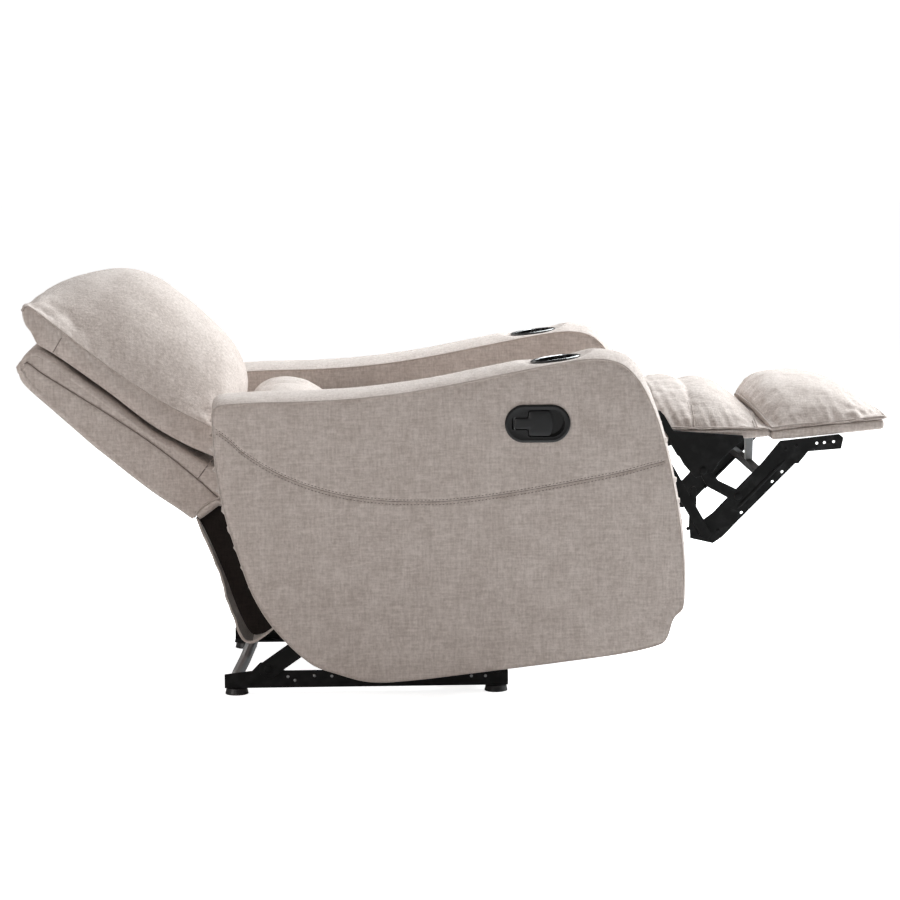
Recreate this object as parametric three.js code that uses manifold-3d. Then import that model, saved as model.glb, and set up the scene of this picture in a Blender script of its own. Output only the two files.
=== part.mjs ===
// Three-position recliner armchair, stored reclined with its footrest out.
// Millimetres, +X the way the sitter faces, +Y the sitter's left, +Z up, floor at Z = 0.
// Side outlines are [x, z] points measured from the arm datum; the last group centres them on the origin.
import * as THREE from 'three';
import { mergeVertices } from 'three/addons/utils/BufferGeometryUtils.js';
import Module from 'manifold-3d';

const wasm = await Module();
wasm.setup();

// ---------------------------------------------------------------- driving dimensions
const SEAT_WIDTH = 520;        // between the arms
const ARM_WIDTH = 140;
const ARM_LENGTH = 858;
const ARM_HEIGHT = 593;
const ARM_REAR = -260;
const ARM_BOTTOM = 47;
const PANEL = 18;              // padded arm board
const BAND = 14;               // padded strip round the arm between its boards
const TILT = 7.3;              // degrees the reclined body leans back
const FIT = 0.4;               // gap between pieces that touch

const STEEL = 3;               // link and plate thickness
const LINK_GAP = 0.5;          // running gap between neighbouring links
const PIN_R = 5;
const PIN_PLAY = 0.4;

const BRACKET_PLAY = 1.6;      // from the back's side to its brackets
const BACK_WALL = 14;
const PAD_PLAY = 5.6;          // from the seat cushion and footrest pads to the mid brackets
const PAD_BOARD = 13;

const CUP_R = 41;
const CUP_WALL = 2.5;
const CUP_DEPTH = 68;
const CUP_LIP = 5;             // rim outside the cup wall
const CUP_SETBACK = 236;       // from the arm's front to the cup's axis

const BEZEL_LENGTH = 117;
const BEZEL_HEIGHT = 68;
const BEZEL_LIP = 4.5;
const BEZEL_WALL = 3;
const BEZEL_DEPTH = 24;
const BEZEL_SETBACK = 273;     // from the arm's front to the bezel's middle
const BEZEL_Z = 514.5;
const BEZEL_BODY_LENGTH = BEZEL_LENGTH - 2 * BEZEL_LIP;
const BEZEL_BODY_HEIGHT = BEZEL_HEIGHT - 2 * BEZEL_LIP;

const RAIL_REAR = -246;
const RAIL_FRONT = 278;
const RAIL_BOTTOM = 12.5;
const RAIL_HEIGHT = 32;
const RAIL_FLANGE = 26;
const FOOT_R = 22;

// ---------------------------------------------------------------- derived places
const ARM_IN = SEAT_WIDTH / 2;
const ARM_OUT = ARM_IN + ARM_WIDTH;
const ARM_MID = (ARM_IN + ARM_OUT) / 2;
const ARM_FRONT = ARM_REAR + ARM_LENGTH;
const LAYER = STEEL + LINK_GAP;
const layer = n => ARM_IN - FIT - STEEL - n * LAYER;   // inner face of steel layer n, 0 is the side plate
const DECK_HALF = layer(4) - 10;                       // leaves room beside the deck for the folded links
const BACK_HALF = layer(2) - BRACKET_PLAY;
const PAD_HALF = layer(2) - PAD_PLAY;
const CUP_RIM = CUP_R + CUP_LIP;
const CUP_X = ARM_FRONT - CUP_SETBACK;
const BEZEL_X = ARM_FRONT - BEZEL_SETBACK;

// pivots, [x, z]
const REAR_BASE = [-165, 48];
const REAR_TOP = [-73.3, 112.2];
const FRONT_BASE = [258.6, 45];
const FRONT_TOP = [310, 112];
const BACK_HINGE = [-130, 440];
const MID_HINGE = [ARM_FRONT - 44, 508];
const LOWER_HINGE = [ARM_FRONT - 54, 467.7];
const FOOT_HINGE = [ARM_FRONT + 106, 360];
const LOWER_END = [ARM_FRONT + 45, 292];
const BRACE_REAR = [ARM_FRONT + 41, 409];
const DRIVE = [262, 330];

const SIDES = { right: -1, left: 1 };

// ---------------------------------------------------------------- finishes
const finish = (color, roughness, metalness = 0) => () =>
  new THREE.MeshStandardMaterial({ color, roughness, metalness });
const fabric = finish(0xa59a90, 0.95);
const wood = finish(0xb08a5a, 0.8);
const blackSteel = finish(0x16161a, 0.45, 0.6);
const greySteel = finish(0x8d9094, 0.4, 0.8);
const blackPlastic = finish(0x0c0c0d, 0.25);
const webbing = finish(0x2c2c2e, 0.9);

// ---------------------------------------------------------------- shape helpers
const rad = THREE.MathUtils.degToRad;

function outline(points, smooth = false) {
  const [first, ...rest] = points.map(([x, z]) => new THREE.Vector2(x, z));
  const shape = new THREE.Shape();
  shape.moveTo(first.x, first.y);
  if (smooth) shape.splineThru(rest);
  else rest.forEach(p => shape.lineTo(p.x, p.y));
  return shape;
}

function circle([x, z], r) {
  return new THREE.Shape().absarc(x, z, r, 0, 2 * Math.PI);
}

function stadium(x, z, length, height) {
  const r = height / 2;
  const half = length / 2 - r;
  return new THREE.Shape()
    .absarc(x + half, z, r, -Math.PI / 2, Math.PI / 2)
    .absarc(x - half, z, r, Math.PI / 2, 1.5 * Math.PI);
}

// flat link between two pivots, with round ends
function linkShape(a, b, width) {
  const angle = Math.atan2(b[1] - a[1], b[0] - a[0]);
  const r = width / 2;
  return new THREE.Shape()
    .absarc(b[0], b[1], r, angle - Math.PI / 2, angle + Math.PI / 2)
    .absarc(a[0], a[1], r, angle + Math.PI / 2, angle + 1.5 * Math.PI);
}

// side outline extruded across the chair, from y0 to y1
function slab(shape, y0, y1, holes = [], curveSegments = 6) {
  shape.holes = holes;
  const depth = Math.abs(y1 - y0);
  const geometry = new THREE.ExtrudeGeometry(shape, { depth, bevelEnabled: false, curveSegments });
  return geometry.rotateX(Math.PI / 2).translate(0, Math.max(y0, y1), 0);
}

// the same slab on one side of the chair, from |y| = near to |y| = near + thick
const sideSlab = (sign, shape, near, thick, holes, segments) =>
  slab(shape, sign * near, sign * (near + thick), holes, segments);

const pinHoles = (...pivots) => pivots.map(p => circle(p, PIN_R + PIN_PLAY));

function pin([x, z], sign, near, far) {
  const geometry = new THREE.CylinderGeometry(PIN_R, PIN_R, far - near, 12);
  return geometry.translate(0, sign * (near + far) / 2, 0).applyMatrix4(
    new THREE.Matrix4().makeTranslation(x, 0, z));
}

function box(x0, x1, y0, y1, z0, z1) {
  const geometry = new THREE.BoxGeometry(x1 - x0, y1 - y0, z1 - z0);
  return geometry.translate((x0 + x1) / 2, (y0 + y1) / 2, (z0 + z1) / 2);
}

// tube along a smooth route of [x, y, z] points
function tube(points, r, steps, sides) {
  const path = new THREE.CatmullRomCurve3(points.map(p => new THREE.Vector3(...p)));
  const ring = new THREE.Path().absarc(0, 0, r, 0, 2 * Math.PI).getPoints(sides / 2).slice(0, -1);
  const section = new THREE.Shape(ring);
  const settings = { steps, extrudePath: path, bevelEnabled: false, curveSegments: 1 };
  return new THREE.ExtrudeGeometry(section, settings);
}

// point at share u of a polyline's knots
function along(knots, u) {
  const at = u * (knots.length - 1);
  const i = Math.min(Math.floor(at), knots.length - 2);
  const f = at - i;
  return [0, 1].map(k => knots[i][k] * (1 - f) + knots[i + 1][k] * f);
}

// pad with a straight underside, an edge line at its sides and a crown line down its middle
function crownedPad({ under, edge, crown, half, lengths = 8, across = 6 }) {
  const geometry = new THREE.BoxGeometry(1, 1, 1, lengths, across, 1);
  const place = geometry.attributes.position;
  for (let i = 0; i < place.count; i++) {
    const u = place.getX(i) + 0.5;
    const v = place.getY(i) * 2;
    const rise = 1 - Math.abs(v) ** 2.4;
    const low = along(under, u);
    const side = along(edge, u);
    const top = along(crown, u);
    const upper = [0, 1].map(k => side[k] + (top[k] - side[k]) * rise);
    const [x, z] = place.getZ(i) > 0 ? upper : low;
    place.setXYZ(i, x, v * half, z);
  }
  return geometry;
}

// ---------------------------------------------------------------- joins and cuts
function solid(geometry) {
  const bare = geometry.clone();
  bare.deleteAttribute('normal');
  bare.deleteAttribute('uv');
  const merged = mergeVertices(bare, 1e-3);
  return new wasm.Manifold(new wasm.Mesh({
    numProp: 3,
    vertProperties: new Float32Array(merged.attributes.position.array),
    triVerts: new Uint32Array(merged.index.array),
  }));
}

function toGeometry(body) {
  const { vertProperties, triVerts } = body.getMesh();
  const geometry = new THREE.BufferGeometry();
  geometry.setAttribute('position', new THREE.BufferAttribute(vertProperties, 3));
  geometry.setIndex(new THREE.BufferAttribute(triVerts, 1));
  geometry.computeVertexNormals();
  return geometry;
}

const join = (first, ...others) =>
  toGeometry(others.reduce((sum, part) => sum.add(solid(part)), solid(first)));
const cut = (first, ...others) =>
  toGeometry(others.reduce((rest, part) => rest.subtract(solid(part)), solid(first)));

// ---------------------------------------------------------------- the chair
const chair = new THREE.Group();

function add(name, geometry, material) {
  const mesh = new THREE.Mesh(geometry, material());
  mesh.name = name;
  chair.add(mesh);
  return mesh;
}

// ---- base
function baseRail(side, sign) {
  const top = RAIL_BOTTOM + RAIL_HEIGHT;
  const ear = 15;
  const shape = outline([
    [RAIL_REAR, RAIL_BOTTOM], [RAIL_FRONT, RAIL_BOTTOM], [RAIL_FRONT, top - 6],
    [FRONT_BASE[0] + ear, FRONT_BASE[1] + 12], [FRONT_BASE[0] - ear, FRONT_BASE[1] + 12],
    [FRONT_BASE[0] - 2 * ear, top], [REAR_BASE[0] + 2 * ear, top],
    [REAR_BASE[0] + ear, REAR_BASE[1] + 12], [REAR_BASE[0] - ear, REAR_BASE[1] + 12],
    [REAR_BASE[0] - 2 * ear, top], [RAIL_REAR, top - 6],
  ]);
  const web = sideSlab(sign, shape, layer(3), STEEL, pinHoles(REAR_BASE, FRONT_BASE));
  const inner = layer(3) - RAIL_FLANGE;
  const span = [sign * inner, sign * (layer(3) + 1)].sort((a, b) => a - b);
  const flange = box(RAIL_REAR, RAIL_FRONT, ...span, RAIL_BOTTOM, RAIL_BOTTOM + STEEL);
  add(`base_rail_${side}`, join(web, flange), blackSteel);
}

function foot(end, side, sign, x) {
  const height = RAIL_BOTTOM - FIT;
  const geometry = new THREE.CylinderGeometry(FOOT_R - 3, FOOT_R, height, 24);
  geometry.rotateX(Math.PI / 2).translate(x, sign * (layer(3) - 10), height / 2);
  add(`foot_${end}_${side}`, geometry, blackPlastic);
}

function crossMembers() {
  const half = layer(3) - FIT;
  const x = RAIL_REAR + 48;
  const z = 70;
  const bow = 28;
  const drop = 42;
  const r = 11;
  const hang = RAIL_BOTTOM + STEEL + FIT;
  const arc = [[bow, 1, drop], [bow, 0.91, drop], [13, 0.8, 16], [5, 0.62, 2], [0, 0, 0]];
  const mirrored = arc.slice(0, -1).map(([back, across, down]) => [back, -across, down]);
  const route = [...mirrored, ...arc.reverse()].map(
    ([back, across, down]) => [x - back, across * half, z - down]);
  const bar = tube(route, r, 16, 12);
  const posts = [-1, 1].map(s => {
    const y = [s * (half - 24), s * (half - 1)].sort((a, b) => a - b);
    return box(x - bow - 3, x - bow + 5, ...y, hang, z - drop);
  });
  add('rear_cross_tube', join(bar, ...posts), greySteel);
  const front = outline([
    [RAIL_FRONT - 50, hang], [RAIL_FRONT - 22, hang], [RAIL_FRONT - 22, hang + STEEL],
    [RAIL_FRONT - 47, hang + STEEL], [RAIL_FRONT - 47, hang + 22], [RAIL_FRONT - 50, hang + 22],
  ]);
  add('front_cross_bar', slab(front, -half + 4, half - 4), blackSteel);
}

// ---- rocking links that carry the body on the base
// The front link's top pivot is left open, so its pin stops short of the side plate.
function carryLink(name, side, sign, low, high, width, topPinEnd) {
  const plate = sideSlab(sign, linkShape(low, high, width), layer(1), STEEL, [], 8);
  const lowPin = pin(low, sign, layer(3) - 1, layer(1) + 1);
  const highPin = pin(high, sign, layer(1) + 1, topPinEnd);
  add(`${name}_${side}`, join(plate, lowPin, highPin), blackSteel);
}

// ---- body: side plates
function sidePlate(side, sign) {
  const [hx, hz] = BACK_HINGE;
  const [mx, mz] = MID_HINGE;
  const [rx, rz] = REAR_TOP;
  const [fx, fz] = FRONT_TOP;
  const shape = outline([
    [rx - 22, rz - 12], [rx, rz - 20], [rx + 26, rz - 14], [fx - 60, fz - 14], [fx + 14, fz - 14],
    [fx + 24, fz + 10], [fx + 96, fz + 180], [LOWER_HINGE[0] - 14, LOWER_HINGE[1] - 62],
    [LOWER_HINGE[0] + 16, LOWER_HINGE[1] - 4], [mx + 13, mz - 4], [mx + 6, mz + 12], [mx - 12, mz + 13],
    [mx - 60, mz - 70], [mx - 200, hz - 20], [hx + 120, hz - 44], [hx + 30, hz + 18], [hx, hz + 24],
    [hx - 20, hz + 10], [hx - 20, hz - 30], [rx - 40, rz + 150], [rx - 24, rz + 40],
  ]);
  const holes = pinHoles(REAR_TOP, FRONT_TOP, BACK_HINGE, MID_HINGE, LOWER_HINGE);
  holes.push(circle(DRIVE, 12));
  add(`side_plate_${side}`, sideSlab(sign, shape, layer(0), STEEL, holes), blackSteel);
}

// square drive tube with a crank at each end
function driveTube() {
  const half = ARM_IN - FIT - STEEL - 1;
  const [x, z] = DRIVE;
  const shaft = box(x - 8, x + 8, -half + 1, half - 1, z - 8, z + 8);
  const parts = [-1, 1].flatMap(s => {
    const crank = sideSlab(s, linkShape(DRIVE, [x + 46, z - 40], 26), layer(4), STEEL, [], 6);
    const stub = new THREE.CylinderGeometry(9, 9, 9, 16).translate(0, s * (half - 1), 0)
      .applyMatrix4(new THREE.Matrix4().makeTranslation(x, 0, z));
    return [crank, stub];
  });
  add('drive_tube', join(shaft, ...parts), blackSteel);
}

function latchSpring(side, sign) {
  const y = sign * (layer(4) - 9);
  const [x, z] = DRIVE;
  const route = [[x - 190, y, z - 60], [x - 90, y, z - 52], [x - 30, y, z - 44]];
  add(`return_spring_${side}`, tube(route, 5, 6, 10), greySteel);
}

// ---- arms
const armPoint = (fx, fz) => [ARM_REAR + fx * ARM_LENGTH, ARM_BOTTOM + fz * ARM_HEIGHT];

function armOutline(inset = 0) {
  const knots = [
    [0.004, 0.815], [0.01, 0.845], [0.03, 0.857], [0.10, 0.863], [0.20, 0.865], [0.30, 0.872], [0.40, 0.887],
    [0.50, 0.910], [0.60, 0.938], [0.68, 0.960], [0.75, 0.978], [0.80, 0.985], [0.84, 0.980], [0.87, 0.965],
    [0.90, 0.925], [0.925, 0.865], [0.945, 0.79], [0.962, 0.70], [0.978, 0.59], [0.990, 0.48], [0.998, 0.36],
    [0.997, 0.26], [0.990, 0.215], [0.968, 0.185], [0.955, 0.13], [0.935, 0.105], [0.86, 0.080],
    [0.72, 0.054], [0.56, 0.028], [0.42, 0.006], [0.33, 0.002], [0.26, 0.028], [0.20, 0.065], [0.13, 0.165],
    [0.085, 0.27], [0.055, 0.39], [0.028, 0.52], [0.010, 0.66],
  ].map(([fx, fz]) => armPoint(fx, fz));
  if (inset === 0) return outline([...knots, knots[0]], true);
  const centre = armPoint(0.5, 0.5);
  const inner = knots.map(([x, z], i) => {
    const [px, pz] = knots[(i + knots.length - 1) % knots.length];
    const [nx, nz] = knots[(i + 1) % knots.length];
    const along2 = Math.hypot(nx - px, nz - pz);
    const normal = [(pz - nz) / along2, (nx - px) / along2];
    const inward = Math.sign(normal[0] * (centre[0] - x) + normal[1] * (centre[1] - z)) * inset;
    return [x + normal[0] * inward, z + normal[1] * inward];
  });
  return outline([...inner, inner[0]], true);
}

// height of the arm's top at the cup holder; its axis leans back with the body
const nearCup = armOutline().getPoints(2).filter(p => Math.abs(p.x - CUP_X) < CUP_R / 2);
const CUP_Z = Math.max(...nearCup.map(p => p.y)) - 2;
const cupFrame = sign => new THREE.Matrix4().makeRotationY(-rad(TILT))
  .premultiply(new THREE.Matrix4().makeTranslation(CUP_X, sign * ARM_MID, CUP_Z));

function cylinderUp(r, z0, z1, segments = 32) {
  const geometry = new THREE.CylinderGeometry(r, r, z1 - z0, segments);
  return geometry.rotateX(Math.PI / 2).translate(0, 0, (z0 + z1) / 2);
}

function arm(side, sign) {
  const step = 2;
  const outer = sideSlab(sign, armOutline(), ARM_OUT - PANEL, PANEL, [], step);
  const leverHole = stadium(BEZEL_X, BEZEL_Z, BEZEL_BODY_LENGTH + 2 * FIT, BEZEL_BODY_HEIGHT + 2 * FIT);
  const hole = sideSlab(sign, leverHole, ARM_OUT - PANEL - 1, PANEL + 2, [], 8);
  add(`arm_outer_panel_${side}`, sign < 0 ? cut(outer, hole) : outer, fabric);
  add(`arm_inner_panel_${side}`, sideSlab(sign, armOutline(), ARM_IN, PANEL, [], step), fabric);
  const width = ARM_WIDTH - 2 * PANEL - 2 * FIT;
  const strip = sideSlab(sign, armOutline(), ARM_IN + PANEL + FIT, width, [], step);
  const hollow = sideSlab(sign, armOutline(BAND), ARM_IN + PANEL + FIT - 1, width + 2, [], step);
  const seatRing = cylinderUp(CUP_RIM + FIT, -FIT, 40).applyMatrix4(cupFrame(sign));
  const well = cylinderUp(CUP_R + FIT, -CUP_DEPTH, 1).applyMatrix4(cupFrame(sign));
  add(`arm_band_${side}`, cut(strip, hollow, seatRing, well), fabric);
}

function cupHolder(side, sign) {
  const inner = CUP_R - CUP_WALL;
  const bed = -CUP_DEPTH + CUP_WALL;
  const profile = [
    [0, -CUP_DEPTH], [CUP_R - 4, -CUP_DEPTH], [CUP_R, -CUP_DEPTH + 4], [CUP_R, 0], [CUP_RIM, 0],
    [CUP_RIM, 2.5], [CUP_RIM - 2.5, 4], [inner, 3], [inner, bed + 2], [inner - 2, bed], [0, bed],
  ].map(([r, z]) => new THREE.Vector2(r, z));
  const geometry = new THREE.LatheGeometry(profile, 32).rotateX(Math.PI / 2);
  add(`cup_holder_${side}`, geometry.applyMatrix4(cupFrame(sign)), blackPlastic);
}

// ---- release lever on the right arm: bezel, paddle on an upright pin, cable
const LEVER_AXIS = BEZEL_X - BEZEL_LENGTH / 2 + 17.5;
const LEVER_Y = -ARM_OUT + 3.5;

function leverSet() {
  const oval = (inset, y0, y1) => {
    const shape = stadium(BEZEL_X, BEZEL_Z, BEZEL_LENGTH - 2 * inset, BEZEL_HEIGHT - 2 * inset);
    return slab(shape, y0 - ARM_OUT, y1 - ARM_OUT, [], 8);
  };
  const ring = oval(0, -3.5, -FIT);
  const well = oval(BEZEL_LIP, -1, BEZEL_DEPTH);
  const hollow = oval(BEZEL_LIP + BEZEL_WALL, -5, BEZEL_DEPTH - BEZEL_WALL);
  add('lever_bezel', cut(join(ring, well), hollow), blackPlastic);

  const neckEnd = LEVER_AXIS + 20;
  const padEnd = BEZEL_X + 27;
  const shape = outline([
    [LEVER_AXIS - 6, BEZEL_Z - 9], [neckEnd, BEZEL_Z - 9], [neckEnd, BEZEL_Z - 23], [padEnd, BEZEL_Z - 23],
    [padEnd, BEZEL_Z + 23], [neckEnd, BEZEL_Z + 23], [neckEnd, BEZEL_Z + 9], [LEVER_AXIS - 6, BEZEL_Z + 9],
  ]);
  const thick = 8;
  const paddle = slab(shape, LEVER_Y - thick / 2, LEVER_Y + thick / 2);
  const eye = cylinderUp(2.9, BEZEL_Z - 20, BEZEL_Z + 20, 16).translate(LEVER_AXIS, LEVER_Y, 0);
  add('lever_paddle', cut(paddle, eye), blackPlastic);
  const pivot = cylinderUp(2.5, BEZEL_Z - 17, BEZEL_Z + 17, 16);
  add('lever_pin', pivot.translate(LEVER_AXIS, LEVER_Y, 0), greySteel);

  const start = -ARM_OUT + BEZEL_DEPTH + FIT;
  const end = -(ARM_IN + PANEL + FIT + 4);
  add('release_cable', tube([
    [BEZEL_X - 20, start, BEZEL_Z], [BEZEL_X - 20, start + 18, BEZEL_Z - 2],
    [BEZEL_X - 22, start + 30, BEZEL_Z - 30], [BEZEL_X - 10, end - 30, BEZEL_Z - 90],
    [BEZEL_X, end - 6, BEZEL_Z - 150], [BEZEL_X + 4, end, BEZEL_Z - 200],
  ], 3, 24, 8), blackPlastic);
}

// ---- seat
const SEAT_REAR = 4;
const SEAT_FRONT = ARM_FRONT - 86;
const SEAT_SLOPE = Math.tan(rad(TILT));
const deckZ = x => 388 + SEAT_SLOPE * (x - SEAT_REAR);   // top of the spring deck

function sloped(x0, x1, below, above) {
  const [z0, z1] = [deckZ(x0), deckZ(x1)];
  return outline([[x0, z0 - below], [x1, z1 - below], [x1, z1 + above], [x0, z0 + above]]);
}

function seat() {
  const rail = 42;
  const railWide = 30;
  const x0 = SEAT_REAR;
  const x1 = SEAT_FRONT - 6;
  add('seat_rail_front', slab(sloped(x1 - railWide, x1, rail, 0), -DECK_HALF, DECK_HALF), wood);
  add('seat_rail_rear', slab(sloped(x0, x0 + railWide, rail, 0), -DECK_HALF, DECK_HALF), wood);
  for (const [side, sign] of Object.entries(SIDES)) {
    const length = sloped(x0 + railWide + FIT, x1 - railWide - FIT, rail, 0);
    add(`seat_rail_${side}`, sideSlab(sign, length, DECK_HALF - 22, 22, []), wood);
  }
  add('seat_deck', slab(sloped(x0, x1, -FIT, 3 + FIT), -DECK_HALF, DECK_HALF), webbing);
  const lift = 3 + 2 * FIT + 2;
  add('seat_cushion', crownedPad({
    under: [[SEAT_REAR, deckZ(SEAT_REAR) + lift], [SEAT_FRONT, deckZ(SEAT_FRONT) + lift]],
    edge: [[SEAT_REAR, deckZ(SEAT_REAR) + 58], [180, deckZ(180) + 62], [360, deckZ(360) + 64],
      [SEAT_FRONT, deckZ(SEAT_FRONT) + 48]],
    crown: [[SEAT_REAR, deckZ(SEAT_REAR) + 74], [180, deckZ(180) + 92], [360, deckZ(360) + 88],
      [SEAT_FRONT, deckZ(SEAT_FRONT) + 66]],
    half: PAD_HALF,
  }), fabric);
}

// fabric flap that closes the gap between the back's foot and the body
function rearFlap() {
  const shape = outline([
    [-288, 318], [-257, 245], [-234, 172], [-212, 106], [-196, 92], [-152, 120],
    [-154, 126], [-196, 99], [-207, 110], [-228, 174], [-251, 248], [-281, 318],
  ]);
  add('rear_flap', slab(shape, -BACK_HALF + 12, BACK_HALF - 12), fabric);
}

// ---- back
const BACK_FACE = [[-222, 400], [-248, 428], [-275, 436], [-373, 497], [-444, 553], [-507, 600], [-548, 628]];
const SHELL_REAR = [[-573, 643], [-597, 634], [-612, 609], [-609, 576], [-552, 545], [-464, 458], [-374, 384],
  [-294, 328], [-240, 342]];

function back() {
  const half = BACK_HALF;
  const body = slab(outline([...BACK_FACE, ...SHELL_REAR]), -half, half);
  const room = outline([
    [-258, 366], [-290, 345], [-374, 402], [-464, 476], [-552, 563], [-590, 584], [-592, 606], [-560, 660],
    [-360, 560], [-236, 450], [-236, 372],
  ]);
  const hollow = slab(room, -half + BACK_WALL, half - BACK_WALL);
  add('back_shell', cut(body, hollow), fabric);
  const frame = outline([
    [-250, 378], [-290, 351], [-370, 407], [-460, 482], [-550, 569], [-584, 590], [-570, 626], [-548, 622],
    [-507, 594], [-444, 547], [-373, 491], [-275, 430], [-252, 418],
  ]);
  add('back_frame', slab(frame, -half + BACK_WALL + FIT, half - BACK_WALL - FIT), wood);
  add('back_cushion', crownedPad({
    under: [
      [-597, 690], [-580, 655], [-548, 636], [-507, 607], [-444, 560], [-373, 504], [-310, 465], [-262, 437]],
    edge: [
      [-603, 712], [-590, 722], [-549, 690], [-478, 633], [-407, 581], [-335, 535], [-273, 503], [-240, 470]],
    crown: [
      [-620, 708], [-580, 742], [-508, 771], [-420, 774], [-349, 744], [-282, 688], [-213, 600], [-206, 520]],
    half: half - 1,
    lengths: 14,
    across: 8,
  }), fabric);
  add('lumbar_pad', slab(outline([
    [-193, 535], [-181, 553], [-150, 563], [-118, 563], [-78, 548], [-52, 512], [-66, 474], [-150, 456],
    [-205, 462], [-200, 510],
  ]), -half + 2, half - 2), fabric);
}

function backBracket(side, sign) {
  const [x, z] = BACK_HINGE;
  const shape = outline([
    [x + 16, z - 8], [x + 16, z + 8], [x + 4, z + 18], [x - 80, z + 14], [x - 114, z - 20], [x - 122, z - 44],
    [x - 100, z - 60], [x - 20, z - 18], [x, z - 17],
  ]);
  const plate = sideSlab(sign, shape, layer(2), STEEL, []);
  add(`back_bracket_${side}`, join(plate, pin(BACK_HINGE, sign, layer(2) + 1, layer(0) + STEEL)), blackSteel);
}

// ---- footrest, its outlines measured from the arm's front
const fore = points => points.map(([x, z]) => [ARM_FRONT + x, z]);
const MID_REAR = [ARM_FRONT - 42, 468.5];
const MID_FRONT = [ARM_FRONT + 163, 470];
const TOE_REAR = [ARM_FRONT + 168.6, 464.5];
const TOE_FRONT = [ARM_FRONT + 377, 484.5];

// outline of a board standing on the line a-b, thick high
function boardOn(a, b, thick, setback = 0) {
  const run = Math.hypot(b[0] - a[0], b[1] - a[1]);
  const t = [(b[0] - a[0]) / run, (b[1] - a[1]) / run];
  const n = [-t[1], t[0]];
  const at = (s, h) => [a[0] + t[0] * s + n[0] * h, a[1] + t[1] * s + n[1] * h];
  return outline([at(setback, 0), at(run - setback, 0), at(run - setback, thick), at(setback, thick)]);
}

function footrestBoards() {
  const half = PAD_HALF;
  add('mid_board', slab(boardOn(MID_REAR, MID_FRONT, PAD_BOARD, 3), -half + 3, half - 3), wood);
  add('footrest_board', slab(boardOn(TOE_REAR, TOE_FRONT, PAD_BOARD, 3), -half + 3, half - 3), wood);
  const lift = PAD_BOARD + FIT + 0.6;
  add('mid_pad', crownedPad({
    under: [[MID_REAR[0], MID_REAR[1] + lift], [MID_FRONT[0], MID_FRONT[1] + lift]],
    edge: fore([[-44, 505], [-8, 524], [52, 522], [94, 512], [130, 500], [162, 486]]),
    crown: fore([[-46, 553], [-8, 563], [52, 562], [94, 547], [130, 519], [161, 489]]),
    half,
  }), fabric);
  add('footrest_pad', crownedPad({
    under: [[TOE_REAR[0] + 3, TOE_REAR[1] + lift], [TOE_FRONT[0], TOE_FRONT[1] + lift]],
    edge: fore([[168, 494], [202, 520], [252, 531], [302, 528], [342, 518], [379, 504]]),
    crown: fore([[139, 532], [170, 556], [222, 569], [292, 561], [342, 538], [382, 506]]),
    half,
  }), fabric);
}

function footrestLinks(side, sign) {
  const [mx, mz] = MID_HINGE;
  const bracket = outline([
    [mx + 14, mz - 26],
    ...fore([[6, 419], [27, 395], [59.5, 406], [76, 431], [93, 446], [116.5, 466], [114, 472.6]]),
    [mx + 30, 483], [mx + 13, mz + 4], [mx + 4, mz + 13], [mx - 10, mz + 10], [mx - 13, mz - 6],
  ]);
  const plate = sideSlab(sign, bracket, layer(2), STEEL, []);
  const hingePin = pin(MID_HINGE, sign, layer(2) + 1, layer(0) + STEEL);
  add(`mid_bracket_${side}`, join(plate, hingePin), blackSteel);

  const bend = [ARM_FRONT + 58, 380];
  const near = ([x, z], dx, dz) => [x + dx, z + dz];
  const curved = outline([
    near(BRACE_REAR, -9, -2), near(bend, -9, -2), near(FOOT_HINGE, -10, -8), near(FOOT_HINGE, 2, -10),
    near(FOOT_HINGE, 10, 0), near(FOOT_HINGE, 3, 10), near(bend, 12, 9), near(BRACE_REAR, 9, 4),
    near(BRACE_REAR, 2, 10), near(BRACE_REAR, -7, 6),
  ]);
  const curvedPlate = sideSlab(sign, curved, layer(3), STEEL, [], 6);
  add(`curved_link_${side}`, join(curvedPlate, pin(FOOT_HINGE, sign, layer(4), layer(3) + 1)), blackSteel);

  const lower = sideSlab(sign, linkShape(LOWER_HINGE, LOWER_END, 20), layer(1), STEEL, [], 8);
  const lowerPin = pin(LOWER_HINGE, sign, layer(1) + 1, layer(0) + STEEL);
  const endPin = pin(LOWER_END, sign, layer(3) - 0.2, layer(1) + 1);
  add(`lower_link_${side}`, join(lower, lowerPin, endPin), blackSteel);

  const web = outline(fore([
    [17, 309], [18, 282], [60, 272], [78, 284], [101, 308], [212, 419], [218, 419], [236, 441], [297, 445.5],
    [301, 466], [293, 472.5], [184, 461], [150, 420], [74, 344], [60, 329], [32, 309],
  ]));
  const bolts = fore([[252, 456], [266, 457], [283, 458.5], [188, 403.5], [170, 385.5], [113, 328.5]]);
  const webHoles = [circle(FOOT_HINGE, PIN_R + PIN_PLAY), circle(LOWER_END, PIN_R + PIN_PLAY + 1),
    ...bolts.map(p => circle(p, 2.8))];
  const channel = sideSlab(sign, web, layer(4), STEEL, webHoles, 6);
  const lip = boardOn(...fore([[101, 308], [212, 419]]), 2.5, 4);
  const lipSlab = sideSlab(sign, lip, layer(4) - 9, 10);
  add(`channel_bracket_${side}`, join(channel, lipSlab), blackSteel);

  const stay = sideSlab(sign, linkShape(...fore([[21, 303], [24, 372]]), 12), layer(3), STEEL, [], 6);
  add(`fold_stop_${side}`, stay, blackSteel);
}

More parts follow.
